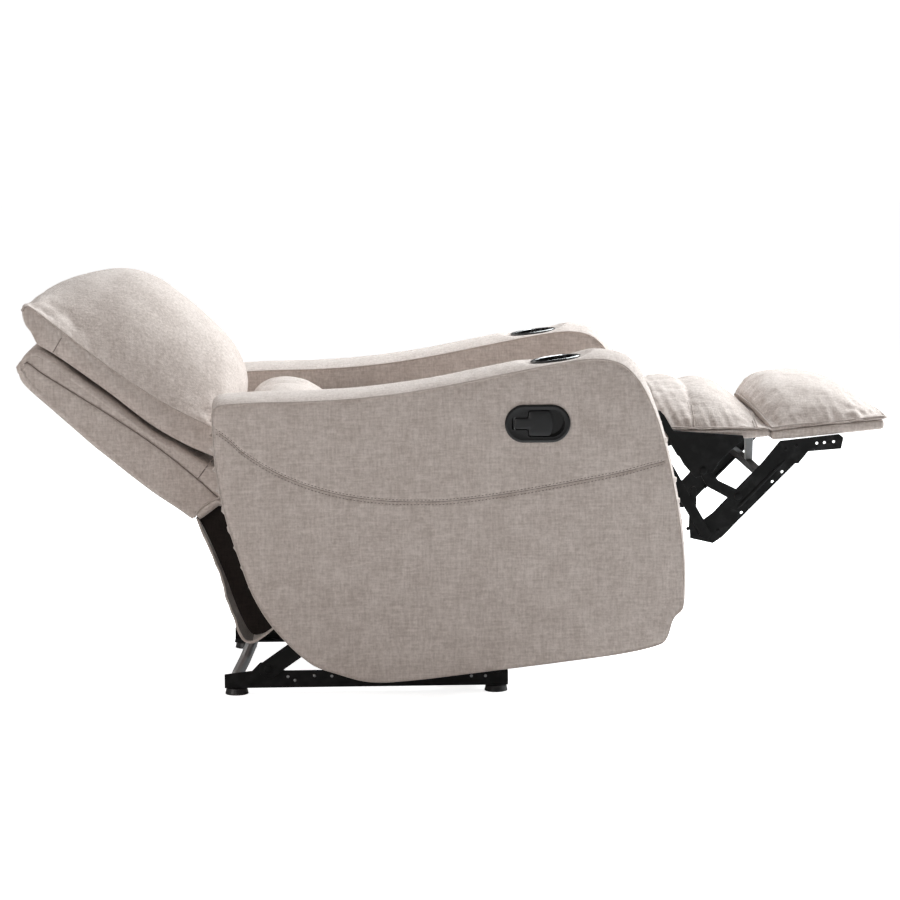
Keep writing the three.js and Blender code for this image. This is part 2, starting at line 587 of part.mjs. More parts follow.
function footrestCross() {
  const half = layer(4) - FIT;
  const size = 14;
  const z0 = 384;
  const foot = z0 + size + FIT;
  const bar = box(ARM_FRONT + 152, ARM_FRONT + 152 + size, -half, half, z0, z0 + size);
  add('footrest_cross_tube', bar, blackSteel);
  const stay = outline(fore([
    [152, foot], [166, foot], [167, 451], [174, 455], [202, 457.6], [202, 464], [170, 461],
    [156, 459], [152, 455],
  ]));
  add('centre_stay', slab(stay, -9, 9), greySteel);
}

// ---------------------------------------------------------------- assembly
for (const [side, sign] of Object.entries(SIDES)) {
  baseRail(side, sign);
  foot('rear', side, sign, RAIL_REAR + FOOT_R);
  foot('front', side, sign, RAIL_FRONT - FOOT_R);
  carryLink('rear_link', side, sign, REAR_BASE, REAR_TOP, 34, layer(0) + STEEL);
  carryLink('front_link', side, sign, FRONT_BASE, FRONT_TOP, 26, layer(0) - 0.2);
  sidePlate(side, sign);
  latchSpring(side, sign);
  arm(side, sign);
  cupHolder(side, sign);
  backBracket(side, sign);
  footrestLinks(side, sign);
}
crossMembers();
driveTube();
leverSet();
seat();
rearFlap();
back();
footrestBoards();
footrestCross();

const model = new THREE.Group();
model.add(chair);
const extent = new THREE.Box3().setFromObject(model);
chair.position.x = -(extent.min.x + extent.max.x) / 2;

export default model;
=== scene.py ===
import math

import bmesh
import bpy
import numpy as np
from mathutils import Matrix, Vector
from mathutils.bvhtree import BVHTree


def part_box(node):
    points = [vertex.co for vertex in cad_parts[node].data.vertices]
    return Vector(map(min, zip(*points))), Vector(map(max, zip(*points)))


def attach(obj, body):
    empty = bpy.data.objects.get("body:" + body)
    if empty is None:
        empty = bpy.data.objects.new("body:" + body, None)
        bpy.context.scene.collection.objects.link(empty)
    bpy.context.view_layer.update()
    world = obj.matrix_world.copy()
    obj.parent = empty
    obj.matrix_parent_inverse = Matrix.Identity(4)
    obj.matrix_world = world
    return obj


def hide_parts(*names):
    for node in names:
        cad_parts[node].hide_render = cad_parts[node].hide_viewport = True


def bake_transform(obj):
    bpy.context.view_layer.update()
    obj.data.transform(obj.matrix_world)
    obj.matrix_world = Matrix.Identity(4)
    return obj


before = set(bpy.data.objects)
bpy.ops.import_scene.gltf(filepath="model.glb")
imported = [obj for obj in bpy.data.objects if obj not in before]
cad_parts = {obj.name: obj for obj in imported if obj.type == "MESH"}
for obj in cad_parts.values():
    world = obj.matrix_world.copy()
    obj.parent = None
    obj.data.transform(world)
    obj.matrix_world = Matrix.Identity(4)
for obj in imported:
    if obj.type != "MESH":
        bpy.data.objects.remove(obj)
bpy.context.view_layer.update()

MM = 0.001
DATUM_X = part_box("base_rail_right")[0].x + 0.246   # the rail starts 246 mm behind the datum
SIDES = {"right": -1, "left": 1}
ARM_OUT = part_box("arm_outer_panel_left")[1].y / MM
ARM_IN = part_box("arm_inner_panel_left")[0].y / MM
ARM_MID = (ARM_OUT + ARM_IN) / 2
ARM_REAR, ARM_LENGTH, ARM_BOTTOM, ARM_HEIGHT = -260.0, 858.0, 47.0, 593.0
ARM_FRONT = ARM_REAR + ARM_LENGTH
CUP_SETBACK = 236
TILT = math.radians(7.3)    # lean of the seat and of the cup holders
BACK_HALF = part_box("back_shell")[1].y / MM
PAD_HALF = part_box("footrest_pad")[1].y / MM
BEZEL_LOW, BEZEL_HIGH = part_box("lever_bezel")


# ---------------------------------------------------------------- lines and grids
def smooth(x):
    x = np.clip(x, 0, 1)
    return x * x * (3 - 2 * x)


def resample(points, count, closed=False):
    """Points spaced evenly along a polyline."""
    p = np.asarray(points, float)
    if closed:
        p = np.vstack([p, p[:1]])
    run = np.r_[0, np.cumsum(np.linalg.norm(np.diff(p, axis=0), axis=1))]
    at = np.linspace(0, run[-1], count, endpoint=not closed)
    return np.column_stack([np.interp(at, run, p[:, k]) for k in range(p.shape[1])])


def spline(knots, count, closed=False):
    """A smooth line through the knots, spaced evenly."""
    k = np.asarray(knots, float)
    if closed:
        k = np.vstack([k[-1], k, k[0], k[1]])
    else:
        k = np.vstack([2 * k[0] - k[1], k, 2 * k[-1] - k[-2]])
    t = np.linspace(0, 1, 14, endpoint=False)[:, None]
    parts = []
    for a, b, c, d in zip(k, k[1:], k[2:], k[3:]):
        parts.append(0.5 * (2 * b + (c - a) * t + (2 * a - 5 * b + 4 * c - d) * t ** 2
                            + (3 * b - a - 3 * c + d) * t ** 3))
    if not closed:
        parts.append(k[-2][None])
    return resample(np.vstack(parts), count, closed)


def outward(loop):
    """Unit normals pointing out of a closed [x, z] loop."""
    t = np.roll(loop, -1, 0) - np.roll(loop, 1, 0)
    n = np.column_stack([-t[:, 1], t[:, 0]])
    n /= np.linalg.norm(n, axis=1)[:, None]
    nxt = np.roll(loop, -1, 0)
    area = (loop[:, 0] * nxt[:, 1] - nxt[:, 0] * loop[:, 1]).sum()
    return n if area < 0 else -n


def gap_to(points, line):
    """Distance from each [x, z] point to a finely spaced line."""
    out = np.empty(len(points))
    for i in range(0, len(points), 2000):
        d = points[i:i + 2000, None] - line[None]
        out[i:i + 2000] = np.sqrt((d ** 2).sum(2).min(1))
    return out


def ripple(points, length, seed):
    """Soft unevenness from -1 to 1 about `length` mm long, the same every time."""
    rng = np.random.default_rng(seed)
    total = np.zeros(len(points))
    for _ in range(9):
        d = rng.normal(size=points.shape[1])
        d *= 2 * math.pi / length / np.linalg.norm(d) * rng.uniform(0.6, 1.7)
        total += np.sin(points @ d + rng.uniform(0, 6.28))
    return total / 4.5


def put(points):
    """Metres in the frame from [x, y, z] in millimetres."""
    p = np.asarray(points, float) * MM
    return p + [DATUM_X, 0, 0]


def mesh_piece(name, points, faces, material):
    """A smooth-shaded object from points in mm and a list of faces."""
    mesh = bpy.data.meshes.new(name)
    mesh.from_pydata(put(points).tolist(), [], [list(map(int, f)) for f in faces])
    mesh.validate()
    mesh.polygons.foreach_set("use_smooth", [True] * len(mesh.polygons))
    mesh.materials.append(material)
    obj = bpy.data.objects.new(name, mesh)
    bpy.context.scene.collection.objects.link(obj)
    return obj


def face_out(obj):
    """Turns every face of a closed piece outwards."""
    bm = bmesh.new()
    bm.from_mesh(obj.data)
    bmesh.ops.recalc_face_normals(bm, faces=bm.faces)
    bm.to_mesh(obj.data)
    bm.free()


def bake_modifiers(obj):
    """Makes the modified mesh the piece's own mesh."""
    bpy.context.view_layer.update()
    made = bpy.data.meshes.new_from_object(obj.evaluated_get(bpy.context.evaluated_depsgraph_get()))
    obj.modifiers.clear()
    old = obj.data
    obj.data = made
    bpy.data.meshes.remove(old)
    obj.data.name = obj.name


def grid_faces(index, closed_rows=False, closed_cols=False):
    """Quads over a two-dimensional array of point numbers."""
    a = index
    if closed_rows:
        a = np.vstack([a, a[:1]])
    if closed_cols:
        a = np.hstack([a, a[:, :1]])
    return np.stack([a[:-1, :-1], a[1:, :-1], a[1:, 1:], a[:-1, 1:]], -1).reshape(-1, 4)


def ring_faces(index):
    """Faces round a run of closed rings, with both ends capped."""
    return grid_faces(index, closed_cols=True).tolist() + [index[0].tolist(), index[-1][::-1].tolist()]


def rim(index):
    """The point numbers round the edge of a grid, in order."""
    return np.concatenate([index[:, 0], index[-1, 1:], index[-2::-1, -1], index[0, -2:0:-1]])


def skin_faces(index):
    """Faces of a thin sheet: the grid, its copy on the other side, and the edge between them."""
    edge = rim(index)
    other = index.size
    return (grid_faces(index).tolist() + (grid_faces(index)[:, ::-1] + other).tolist()
            + grid_faces(np.array([edge, edge + other]), closed_cols=True).tolist())


def upright(line, y):
    """An [x, z] line or grid as [x, y, z] points."""
    return np.column_stack([line[:, 0], np.broadcast_to(y, len(line)), line[:, 1]])


def soft_edges(obj, angle=38):
    """Smooth shading, with creases only at sharp folds."""
    obj.data.polygons.foreach_set("use_smooth", [True] * len(obj.data.polygons))
    obj.data.set_sharp_from_angle(angle=math.radians(angle))


def closed_piece(name, points, faces, material, angle=None):
    """A closed object with its faces turned out, creased at folds sharper than the angle."""
    obj = mesh_piece(name, points, faces, material)
    face_out(obj)
    if angle:
        soft_edges(obj, angle)
    return obj


def tube(name, path, radius, material, sides=8, closed=False):
    """A round cord along a path of [x, y, z] points in mm; radius may change along it."""
    p = np.asarray(path, float)
    t = np.roll(p, -1, 0) - np.roll(p, 1, 0) if closed else np.gradient(p, axis=0)
    t /= np.linalg.norm(t, axis=1)[:, None]
    n = np.cross(t[0], [0.13, 0.3, 0.94])
    frames = []
    for ti in t:
        n = n - ti * (n @ ti)
        n /= np.linalg.norm(n)
        frames.append((n, np.cross(ti, n)))
    angle = np.linspace(0, 2 * math.pi, sides, endpoint=False)
    r = np.broadcast_to(np.asarray(radius, float), len(p))
    rings = [p[i] + r[i] * (np.outer(np.cos(angle), a) + np.outer(np.sin(angle), b))
             for i, (a, b) in enumerate(frames)]
    index = np.arange(len(p) * sides).reshape(len(p), sides)
    faces = grid_faces(index, closed_rows=True, closed_cols=True).tolist() if closed else ring_faces(index)
    return closed_piece(name, np.vstack(rings), faces, material)


def stitches(name, rows, material, length=4.2, pitch=6.4, radius=0.65):
    """Sewing stitches lying along each [x, y, z] path, lengthwise with gaps."""
    points, faces = [], []
    ring = [(math.cos(a), math.sin(a)) for a in np.linspace(0, 2 * math.pi, 5, endpoint=False)]
    for path in rows:
        p = np.asarray(path, float)
        run = np.r_[0, np.cumsum(np.linalg.norm(np.diff(p, axis=0), axis=1))]
        for s in np.arange(pitch / 2, run[-1] - pitch / 2, pitch):
            a, b = [np.array([np.interp(s + h, run, p[:, k]) for k in range(3)])
                    for h in (-length / 2, length / 2)]
            t = (b - a) / np.linalg.norm(b - a)
            n = np.cross(t, [0.1, 0.2, 0.97])
            n /= np.linalg.norm(n)
            m = np.cross(t, n)
            base = len(points)
            points.append(a)
            for f in (0.25, 0.75):
                points += [a + (b - a) * f + radius * (c * n + q * m) for c, q in ring]
            points.append(b)
            for k in range(5):
                q = (k + 1) % 5
                faces += [[base, base + 1 + q, base + 1 + k],
                          [base + 1 + k, base + 1 + q, base + 6 + q, base + 6 + k],
                          [base + 11, base + 6 + k, base + 6 + q]]
    return closed_piece(name, np.array(points), faces, material)


def dress(obj, body, *nodes, fill=None, slot="fabric"):
    """Hangs a piece on a body and hides the parts that it stands for; fill and slot are not used."""
    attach(obj, body)
    if nodes:
        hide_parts(*nodes)
    return obj


# ---------------------------------------------------------------- finishes
def add_node(tree, kind, values=None, **settings):
    """A shader node; each value is a number, a colour or another node's output."""
    n = tree.nodes.new(kind)
    for key, value in settings.items():
        setattr(n, key, value)
    for key, value in (values or {}).items():
        if isinstance(value, bpy.types.NodeSocket):
            tree.links.new(value, n.inputs[key])
        else:
            n.inputs[key].default_value = value
    return n


def maths(tree, operation, a, b=0.0):
    return add_node(tree, "ShaderNodeMath", {0: a, 1: b}, operation=operation).outputs[0]


def centred(tree, value, middle, gain):
    """A value's distance from its middle, times a gain."""
    return maths(tree, "MULTIPLY", maths(tree, "SUBTRACT", value, middle), gain)


def noise(tree, place, scale, detail, **more):
    values = {"Vector": place, "Scale": scale, "Detail": detail, **more}
    return add_node(tree, "ShaderNodeTexNoise", values).outputs["Fac"]


def mixed(tree, factor, a, b):
    """Colour a at factor 0 and colour b at factor 1."""
    return add_node(tree, "ShaderNodeMix", {"Factor": factor, 6: a, 7: b}, data_type="RGBA").outputs[2]


def streaks(tree, place, stretch, scale):
    """Noise drawn out along one axis, as yarns are."""
    long = add_node(tree, "ShaderNodeVectorMath", {0: place, 1: stretch}, operation="MULTIPLY").outputs[0]
    return noise(tree, long, scale, 2.0)


def new_group(name, inputs, outputs):
    tree = bpy.data.node_groups.new(name, "ShaderNodeTree")
    for way, wanted in (("INPUT", inputs), ("OUTPUT", outputs)):
        for label, kind, value in wanted:
            s = tree.interface.new_socket(label, in_out=way, socket_type=kind)
            if value is not None:
                s.default_value = value
    return tree, tree.nodes.new("NodeGroupInput").outputs, tree.nodes.new("NodeGroupOutput").inputs


COLOUR, NUMBER = "NodeSocketColor", "NodeSocketFloat"


def weave_group():
    """Slubbed cross-woven yarns: light and dark streaks both ways, and the height of the threads."""
    tree, given, out = new_group(
        "woven_yarn",
        [("Light Yarn", COLOUR, None), ("Dark Yarn", COLOUR, None), ("Thread Scale", NUMBER, 170.0),
         ("Contrast", NUMBER, 1.0)],
        [("Colour", COLOUR, None), ("Height", NUMBER, None)])
    place = add_node(tree, "ShaderNodeTexCoord").outputs["Object"]
    facing = add_node(tree, "ShaderNodeNewGeometry").outputs["Normal"]
    faces = add_node(tree, "ShaderNodeSeparateXYZ", {0: facing}).outputs
    threads = None
    for axis, label in enumerate("XYZ"):
        band = add_node(tree, "ShaderNodeTexWave", {
            "Vector": place, "Scale": given["Thread Scale"], "Distortion": 1.2, "Detail": 1.0,
            "Detail Scale": 1.4}, wave_type="BANDS", bands_direction=label).outputs["Fac"]
        across = maths(tree, "SUBTRACT", 1.0, maths(tree, "ABSOLUTE", faces[axis]))
        part = maths(tree, "MULTIPLY", band, across)
        threads = part if threads is None else maths(tree, "ADD", threads, part)
    along = [streaks(tree, place, way, 300) for way in ((0.10, 1, 1), (1, 0.10, 1), (1, 1, 0.10))]
    fine = maths(tree, "ADD", along[0], maths(tree, "ADD", along[1], along[2]))
    slub = maths(tree, "ADD", *[streaks(tree, place, way, 260) for way in ((0.30, 1, 1), (1, 0.8, 0.36))])
    mottle = noise(tree, place, 22.0, 5.0, Roughness=0.6)
    tone = centred(tree, fine, 1.5, 0.8)
    for value, middle, gain in ((slub, 1.0, 1.0), (mottle, 0.5, 0.9), (threads, 1.0, 0.16)):
        tone = maths(tree, "ADD", tone, centred(tree, value, middle, gain))
    tone = maths(tree, "ADD", maths(tree, "MULTIPLY", tone, given["Contrast"]), 0.5)
    tone = add_node(tree, "ShaderNodeClamp", {0: tone}).outputs[0]
    tree.links.new(mixed(tree, tone, given["Dark Yarn"], given["Light Yarn"]), out["Colour"])
    height = maths(tree, "ADD", maths(tree, "MULTIPLY", threads, 0.5), maths(tree, "MULTIPLY", fine, 0.6))
    tree.links.new(height, out["Height"])
    return tree


def wear_group():
    """Rubbed edges and a handled, slightly dusty surface on hard parts."""
    tree, given, out = new_group(
        "edge_wear", [("Amount", NUMBER, 0.5), ("Grain Scale", NUMBER, 400.0)],
        [("Wear", NUMBER, None), ("Dust", NUMBER, None), ("Grain", NUMBER, None)])
    place = add_node(tree, "ShaderNodeTexCoord").outputs["Object"]
    edge = add_node(tree, "ShaderNodeNewGeometry").outputs["Pointiness"]
    edge = add_node(tree, "ShaderNodeMapRange", {0: edge, 1: 0.52, 2: 0.62}).outputs[0]
    patchy = noise(tree, place, 60.0, 6.0)
    patchy = add_node(tree, "ShaderNodeMapRange", {0: patchy, 1: 0.42, 2: 0.68}).outputs[0]
    wear = maths(tree, "MULTIPLY", maths(tree, "MULTIPLY", edge, patchy), given["Amount"])
    tree.links.new(wear, out["Wear"])
    tree.links.new(noise(tree, place, 9.0, 4.0), out["Dust"])
    tree.links.new(noise(tree, place, given["Grain Scale"], 2.0), out["Grain"])
    return tree


WOVEN = weave_group()
WORN = wear_group()


def start_material(name, **shader_values):
    material = bpy.data.materials.new(name)
    material.use_nodes = True
    tree = material.node_tree
    shader = tree.nodes["Principled BSDF"]
    for key, value in shader_values.items():
        shader.inputs[key.replace("_", " ")].default_value = value
    return material, tree, shader


def raised(tree, shader, height, distance):
    bump = add_node(tree, "ShaderNodeBump", {"Height": height, "Distance": distance, "Strength": 1.0})
    tree.links.new(bump.outputs[0], shader.inputs["Normal"])


def cloth_material(name, light, dark, scale=170.0, contrast=1.0, sheen=0.35):
    material, tree, shader = start_material(
        name, Roughness=0.88, Sheen_Weight=sheen, Sheen_Roughness=0.45,
        Sheen_Tint=(1.0, 0.97, 0.95, 1.0), Specular_IOR_Level=0.25)
    weave = tree.nodes.new("ShaderNodeGroup")
    weave.node_tree = WOVEN
    for key, value in (("Light Yarn", (*light, 1)), ("Dark Yarn", (*dark, 1)), ("Thread Scale", scale),
                       ("Contrast", contrast)):
        weave.inputs[key].default_value = value
    tree.links.new(weave.outputs["Colour"], shader.inputs["Base Color"])
    raised(tree, shader, weave.outputs["Height"], 0.0006)
    return material


def hard_material(name, colour, worn, roughness, metallic=0.0, wear=0.5, grain=400.0, bump=0.00008, **more):
    material, tree, shader = start_material(name, Metallic=metallic, **more)
    use = add_node(tree, "ShaderNodeGroup", node_tree=WORN)
    use.inputs["Amount"].default_value = wear
    use.inputs["Grain Scale"].default_value = grain
    base = mixed(tree, use.outputs["Dust"], (*colour, 1), (*[min(1, c * 1.25 + 0.001) for c in colour], 1))
    tree.links.new(mixed(tree, use.outputs["Wear"], base, (*worn, 1)), shader.inputs["Base Color"])
    rough = maths(tree, "ADD", centred(tree, use.outputs["Dust"], 0.5, 0.12), roughness)
    tree.links.new(rough, shader.inputs["Roughness"])
    raised(tree, shader, use.outputs["Grain"], bump)
    return material


def wood_material():
    material, tree, shader = start_material("frame_wood", Roughness=0.6)
    place = add_node(tree, "ShaderNodeTexCoord").outputs["Object"]
    rings = add_node(tree, "ShaderNodeVectorMath", {0: place, 1: (1, 0.12, 1)}, operation="MULTIPLY").outputs[0]
    grain = add_node(tree, "ShaderNodeTexWave", {"Vector": rings, "Scale": 40.0, "Distortion": 9.0, "Detail": 3.0,
                                                 "Detail Scale": 1.5}).outputs["Fac"]
    pores = streaks(tree, place, (1, 0.06, 1), 420)
    tone = maths(tree, "ADD", maths(tree, "MULTIPLY", grain, 0.6), maths(tree, "MULTIPLY", pores, 0.4))
    tree.links.new(mixed(tree, tone, (0.62, 0.42, 0.22, 1), (0.40, 0.24, 0.11, 1)), shader.inputs["Base Color"])
    raised(tree, shader, pores, 0.0002)
    return material


UPHOLSTERY = cloth_material("chenille_upholstery", (0.735, 0.655, 0.610), (0.500, 0.425, 0.385))
PIPING = cloth_material("chenille_piping", (0.66, 0.58, 0.54), (0.47, 0.40, 0.36), scale=260, contrast=0.7)
THREAD = cloth_material("sewing_thread", (0.34, 0.28, 0.25), (0.22, 0.175, 0.155), scale=600, contrast=0.5,
                        sheen=0.1)
LINING = cloth_material("dark_lining", (0.070, 0.060, 0.056), (0.035, 0.029, 0.027), scale=240, sheen=0.1)
WEB = cloth_material("seat_webbing", (0.060, 0.060, 0.064), (0.022, 0.022, 0.024), scale=420, sheen=0.15)
# a darker copy of the upholstery for the flap's inner face: painted shade for the shaded hollow behind the flap
FLAP_PAINTED_SHADE = cloth_material("flap_inside_painted_shade", (0.26, 0.225, 0.205), (0.17, 0.145, 0.13), scale=220, sheen=0.1)
# near-black cloth for the flap's sides: painted shade for the shaded gap between the flap and the arm
FLAP_GAP_SHADE_SHEET = cloth_material("flap_gap_painted_shade", (0.020, 0.014, 0.012), (0.010, 0.007, 0.006), scale=220, sheen=0.02)
BLACK_STEEL = hard_material("black_enamelled_steel", (0.0026, 0.0026, 0.0028), (0.07, 0.07, 0.072), 0.46,
                            wear=0.35, Specular_IOR_Level=0.22)
GREY_STEEL = hard_material("zinc_plated_steel", (0.33, 0.34, 0.35), (0.62, 0.63, 0.64), 0.34,
                           metallic=0.9, wear=0.7)
PLASTIC = hard_material("gloss_black_plastic", (0.006, 0.006, 0.0065), (0.05, 0.05, 0.05), 0.17, wear=0.25,
                        grain=900.0, bump=0.00003, Coat_Weight=0.5, Coat_Roughness=0.08)
SATIN_PLASTIC = hard_material("satin_black_plastic", (0.012, 0.012, 0.013), (0.06, 0.06, 0.06), 0.42, wear=0.3,
                              grain=700.0, bump=0.0001)
WOOD = wood_material()


# ---------------------------------------------------------------- the steel, plastic and wooden parts
def finish_part(node, material, edge):
    """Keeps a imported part, with its edges rounded over by `edge` mm and a proper finish."""
    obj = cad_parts[node]
    obj.data.materials.clear()
    obj.data.materials.append(material)
    weld = obj.modifiers.new("weld", "WELD")
    weld.merge_threshold = 0.00002
    flat = obj.modifiers.new("flat", "DECIMATE")
    flat.decimate_type = "DISSOLVE"
    flat.angle_limit = math.radians(0.6)
    round_over = obj.modifiers.new("edges", "BEVEL")
    round_over.width = edge * MM
    round_over.segments = 2
    round_over.limit_method = "ANGLE"
    round_over.angle_limit = math.radians(30)
    round_over.harden_normals = True


PAIRED = {
    BLACK_STEEL: {0.5: "channel_bracket fold_stop", 0.7: "base_rail side_plate",
                  0.6: "rear_link front_link back_bracket mid_bracket curved_link lower_link"},
    SATIN_PLASTIC: {1.6: "foot_rear foot_front"},
    PLASTIC: {0.6: "cup_holder"},
}
SINGLE = {
    BLACK_STEEL: {0.5: "front_cross_bar", 0.8: "drive_tube footrest_cross_tube"},
    GREY_STEEL: {0.4: "lever_pin", 0.6: "rear_cross_tube", 1.2: "centre_stay"},
    SATIN_PLASTIC: {0.3: "release_cable"},
    WOOD: {1.5: "seat_rail_front seat_rail_rear seat_rail_left seat_rail_right back_frame"},
}
for parts, ends in ((PAIRED, [f"_{side}" for side in SIDES]), (SINGLE, [""])):
    for material, by_edge in parts.items():
        for edge, names in by_edge.items():
            for part in names.split():
                for end in ends:
                    finish_part(part + end, material, edge)


# ---------------------------------------------------------------- arms
ARM_KNOTS = np.array([
    (0.004, 0.815), (0.010, 0.845), (0.030, 0.857), (0.10, 0.863), (0.20, 0.865), (0.30, 0.872), (0.40, 0.887),
    (0.50, 0.910), (0.60, 0.938), (0.68, 0.960), (0.75, 0.978), (0.80, 0.985), (0.84, 0.980), (0.87, 0.965),
    (0.90, 0.925), (0.925, 0.865), (0.945, 0.79), (0.962, 0.70), (0.978, 0.59), (0.990, 0.48), (0.998, 0.36),
    (0.997, 0.26), (0.990, 0.215), (0.968, 0.185), (0.955, 0.13), (0.935, 0.105), (0.86, 0.080), (0.72, 0.054),
    (0.56, 0.028), (0.42, 0.006), (0.33, 0.002), (0.26, 0.028), (0.20, 0.065), (0.13, 0.165), (0.085, 0.27),
    (0.055, 0.39), (0.028, 0.52), (0.010, 0.66)]) * [ARM_LENGTH, ARM_HEIGHT] + [ARM_REAR, ARM_BOTTOM]
ARM_LINE = spline(ARM_KNOTS, 900, closed=True)
ARM_NORMAL = outward(ARM_LINE)
CURVED_SEAM = spline([
    (-262, 515), (-251, 509), (-223, 489), (-198, 466), (-147.5, 434), (-97, 411), (-46, 394.5), (5, 384), (56, 378),
    (107, 376), (168, 377), (270, 389), (373, 406), (476, 425), (527, 438), (556, 445), (568, 449)], 400)

# how far the rolled band stands out past the arm's two edge seams
FRONT_ROLL = smooth((ARM_LINE[:, 0] - 440) / 95) * smooth((ARM_LINE[:, 1] - 150) / 60)
SEAM_INSET = 2.0 + 7.0 * FRONT_ROLL
TOP_ROLL = 11.0 * smooth((ARM_NORMAL[:, 1] - 0.35) / 0.5)
ARM_SEAM = ARM_LINE - ARM_NORMAL * SEAM_INSET[:, None]
SEAM_NORMAL = outward(ARM_SEAM)
ARM_CROWN = SEAM_INSET + TOP_ROLL + 1.0

BEZEL_MID = [(BEZEL_LOW.x + BEZEL_HIGH.x) / 2 / MM - DATUM_X / MM, (BEZEL_LOW.z + BEZEL_HIGH.z) / 2 / MM]
BEZEL_END = (BEZEL_HIGH.z - BEZEL_LOW.z) / 2 / MM                      # radius of its round ends
BEZEL_STRAIGHT = (BEZEL_HIGH.x - BEZEL_LOW.x) / 2 / MM - BEZEL_END      # half of the straight part


def oval(inset):
    """The bezel's outline, `inset` mm in from its rim."""
    t = np.linspace(0, 2 * math.pi, 72, endpoint=False)
    r = BEZEL_END - inset
    x = np.sign(np.cos(t) + 1e-9) * BEZEL_STRAIGHT + r * np.cos(t)
    return np.column_stack([x, r * np.sin(t)]) + BEZEL_MID


def arm_face(points, outer, lever=False):
    """How far out the padded side of the arm stands at each [x, z], measured from its flat board."""
    from_edge = gap_to(points, ARM_SEAM)
    out = 2.6 * (1 - np.exp(-from_edge / 60)) - 4.2 * np.exp(-from_edge / 6.5)
    out = out + 0.5 * ripple(points, 130, 3) + 0.22 * ripple(points, 38, 4)
    if outer:
        from_seam = gap_to(points, CURVED_SEAM)
        above = points[:, 1] > np.interp(points[:, 0], CURVED_SEAM[:, 0], CURVED_SEAM[:, 1])
        out = out - 2.0 * np.exp(-(from_seam / 2.6) ** 2) - 1.6 * np.exp(-from_seam / 14)
        out = out + np.where(above, 0.8 * np.exp(-((from_seam - 9) / 8) ** 2), 0)
    if lever:
        d = np.abs(points - BEZEL_MID) - [BEZEL_STRAIGHT, 0]
        ring = np.hypot(np.maximum(d[:, 0], 0), np.maximum(d[:, 1], 0)) - BEZEL_END
        out = out * smooth((ring + 4) / 26) + 0.1 * (1 - smooth((ring + 4) / 26))
    return out


def corner_at(point):
    return int(np.argmin(np.hypot(*(ARM_SEAM - point).T)))


def side_grid(loop, start, end, middle, columns, rows, trim=14):
    """A grid of [x, z] over one side: rows from the top edge, through the middle line, to the bottom edge."""
    n = len(loop)
    step = np.linalg.norm(np.roll(loop, -1, 0) - loop, axis=1).mean()
    k = max(1, int(trim / step))
    top = loop[[(start + k + i) % n for i in range((end - start) % n - 2 * k + 1)]]
    low = loop[[(start - k - i) % n for i in range((start - end) % n - 2 * k + 1)]]
    top, low, mid = (resample(line, columns) for line in (top, low, middle))
    f = 0.5 - 0.5 * np.cos(np.linspace(0, math.pi, rows + 1))
    upper = top[:, None] * (1 - f[None, :, None]) + mid[:, None] * f[None, :, None]
    lower = mid[:, None] * (1 - f[None, 1:, None]) + low[:, None] * f[None, 1:, None]
    return np.concatenate([upper, lower], 1)


def cut_away(obj, low, high):
    """Cuts out of a piece the prism between two matching loops."""
    index = np.arange(2 * len(low)).reshape(2, -1)
    tool = closed_piece("cutter", np.vstack([low, high]), ring_faces(index), UPHOLSTERY)
    mod = obj.modifiers.new("cut", "BOOLEAN")
    mod.operation, mod.solver, mod.object = "DIFFERENCE", "EXACT", tool
    bake_modifiers(obj)
    bpy.data.objects.remove(tool)


def thicken(obj, depth):
    """Backs an open cover so that it is a closed piece, `depth` mm thick."""
    mod = obj.modifiers.new("backing", "SOLIDIFY")
    mod.thickness, mod.offset, mod.use_even_offset = depth * MM, -1, False
    bake_modifiers(obj)


REAR_CORNER, FRONT_CORNER = corner_at((-257, 511)), corner_at((558, 446))
ARM_GRID = side_grid(ARM_SEAM, REAR_CORNER, FRONT_CORNER,
                     CURVED_SEAM[(CURVED_SEAM[:, 0] > -256) & (CURVED_SEAM[:, 0] < 558)], 190, 26)
CUP_AXIS = np.array([-math.sin(TILT), 0, math.cos(TILT)])


def cup_place(side):
    """The middle of the cup holder's seat, in mm from the arm datum."""
    low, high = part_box(f"cup_holder_{side}")
    middle = np.array([ARM_FRONT - CUP_SETBACK, (low.y + high.y) / 2 / MM, 0])
    # the rim's front edge is the highest point: 4 mm above the seat and 46 mm out from the axis
    top = high.z / MM - 4 * math.cos(TILT) - 43.5 * math.sin(TILT)
    return middle + [0, 0, top]


def arm_side_cover(side, sign, outer):
    place = "outer" if outer else "inner"
    lever = outer and sign < 0
    flat = ARM_GRID.reshape(-1, 2)
    face = arm_face(flat, outer, lever)
    base = ARM_OUT if outer else ARM_IN
    away = 1 if outer else -1
    y = sign * (base + away * face)
    index = np.arange(len(flat)).reshape(ARM_GRID.shape[:2])
    faces = grid_faces(index)
    if (sign > 0) == outer:
        faces = faces[:, ::-1]
    obj = mesh_piece(f"arm_{place}_cover_{side}", upright(flat, y), faces, UPHOLSTERY)
    if obj.data.polygons[4000].normal.y * sign * away < 0:
        obj.data.flip_normals()
    thicken(obj, 12)
    if lever:
        t = np.linspace(0, 2 * math.pi, 48, endpoint=False)
        r = BEZEL_END - 3.6
        x = np.sign(np.cos(t)) * BEZEL_STRAIGHT + r * np.cos(t)
        hole = np.column_stack([x, r * np.sin(t)]) + BEZEL_MID
        cut_away(obj, upright(hole, -(ARM_OUT + 20)), upright(hole, -(ARM_OUT - 30)))
    soft_edges(obj)
    dress(obj, "body", f"arm_{place}_panel_{side}", fill=0.9)


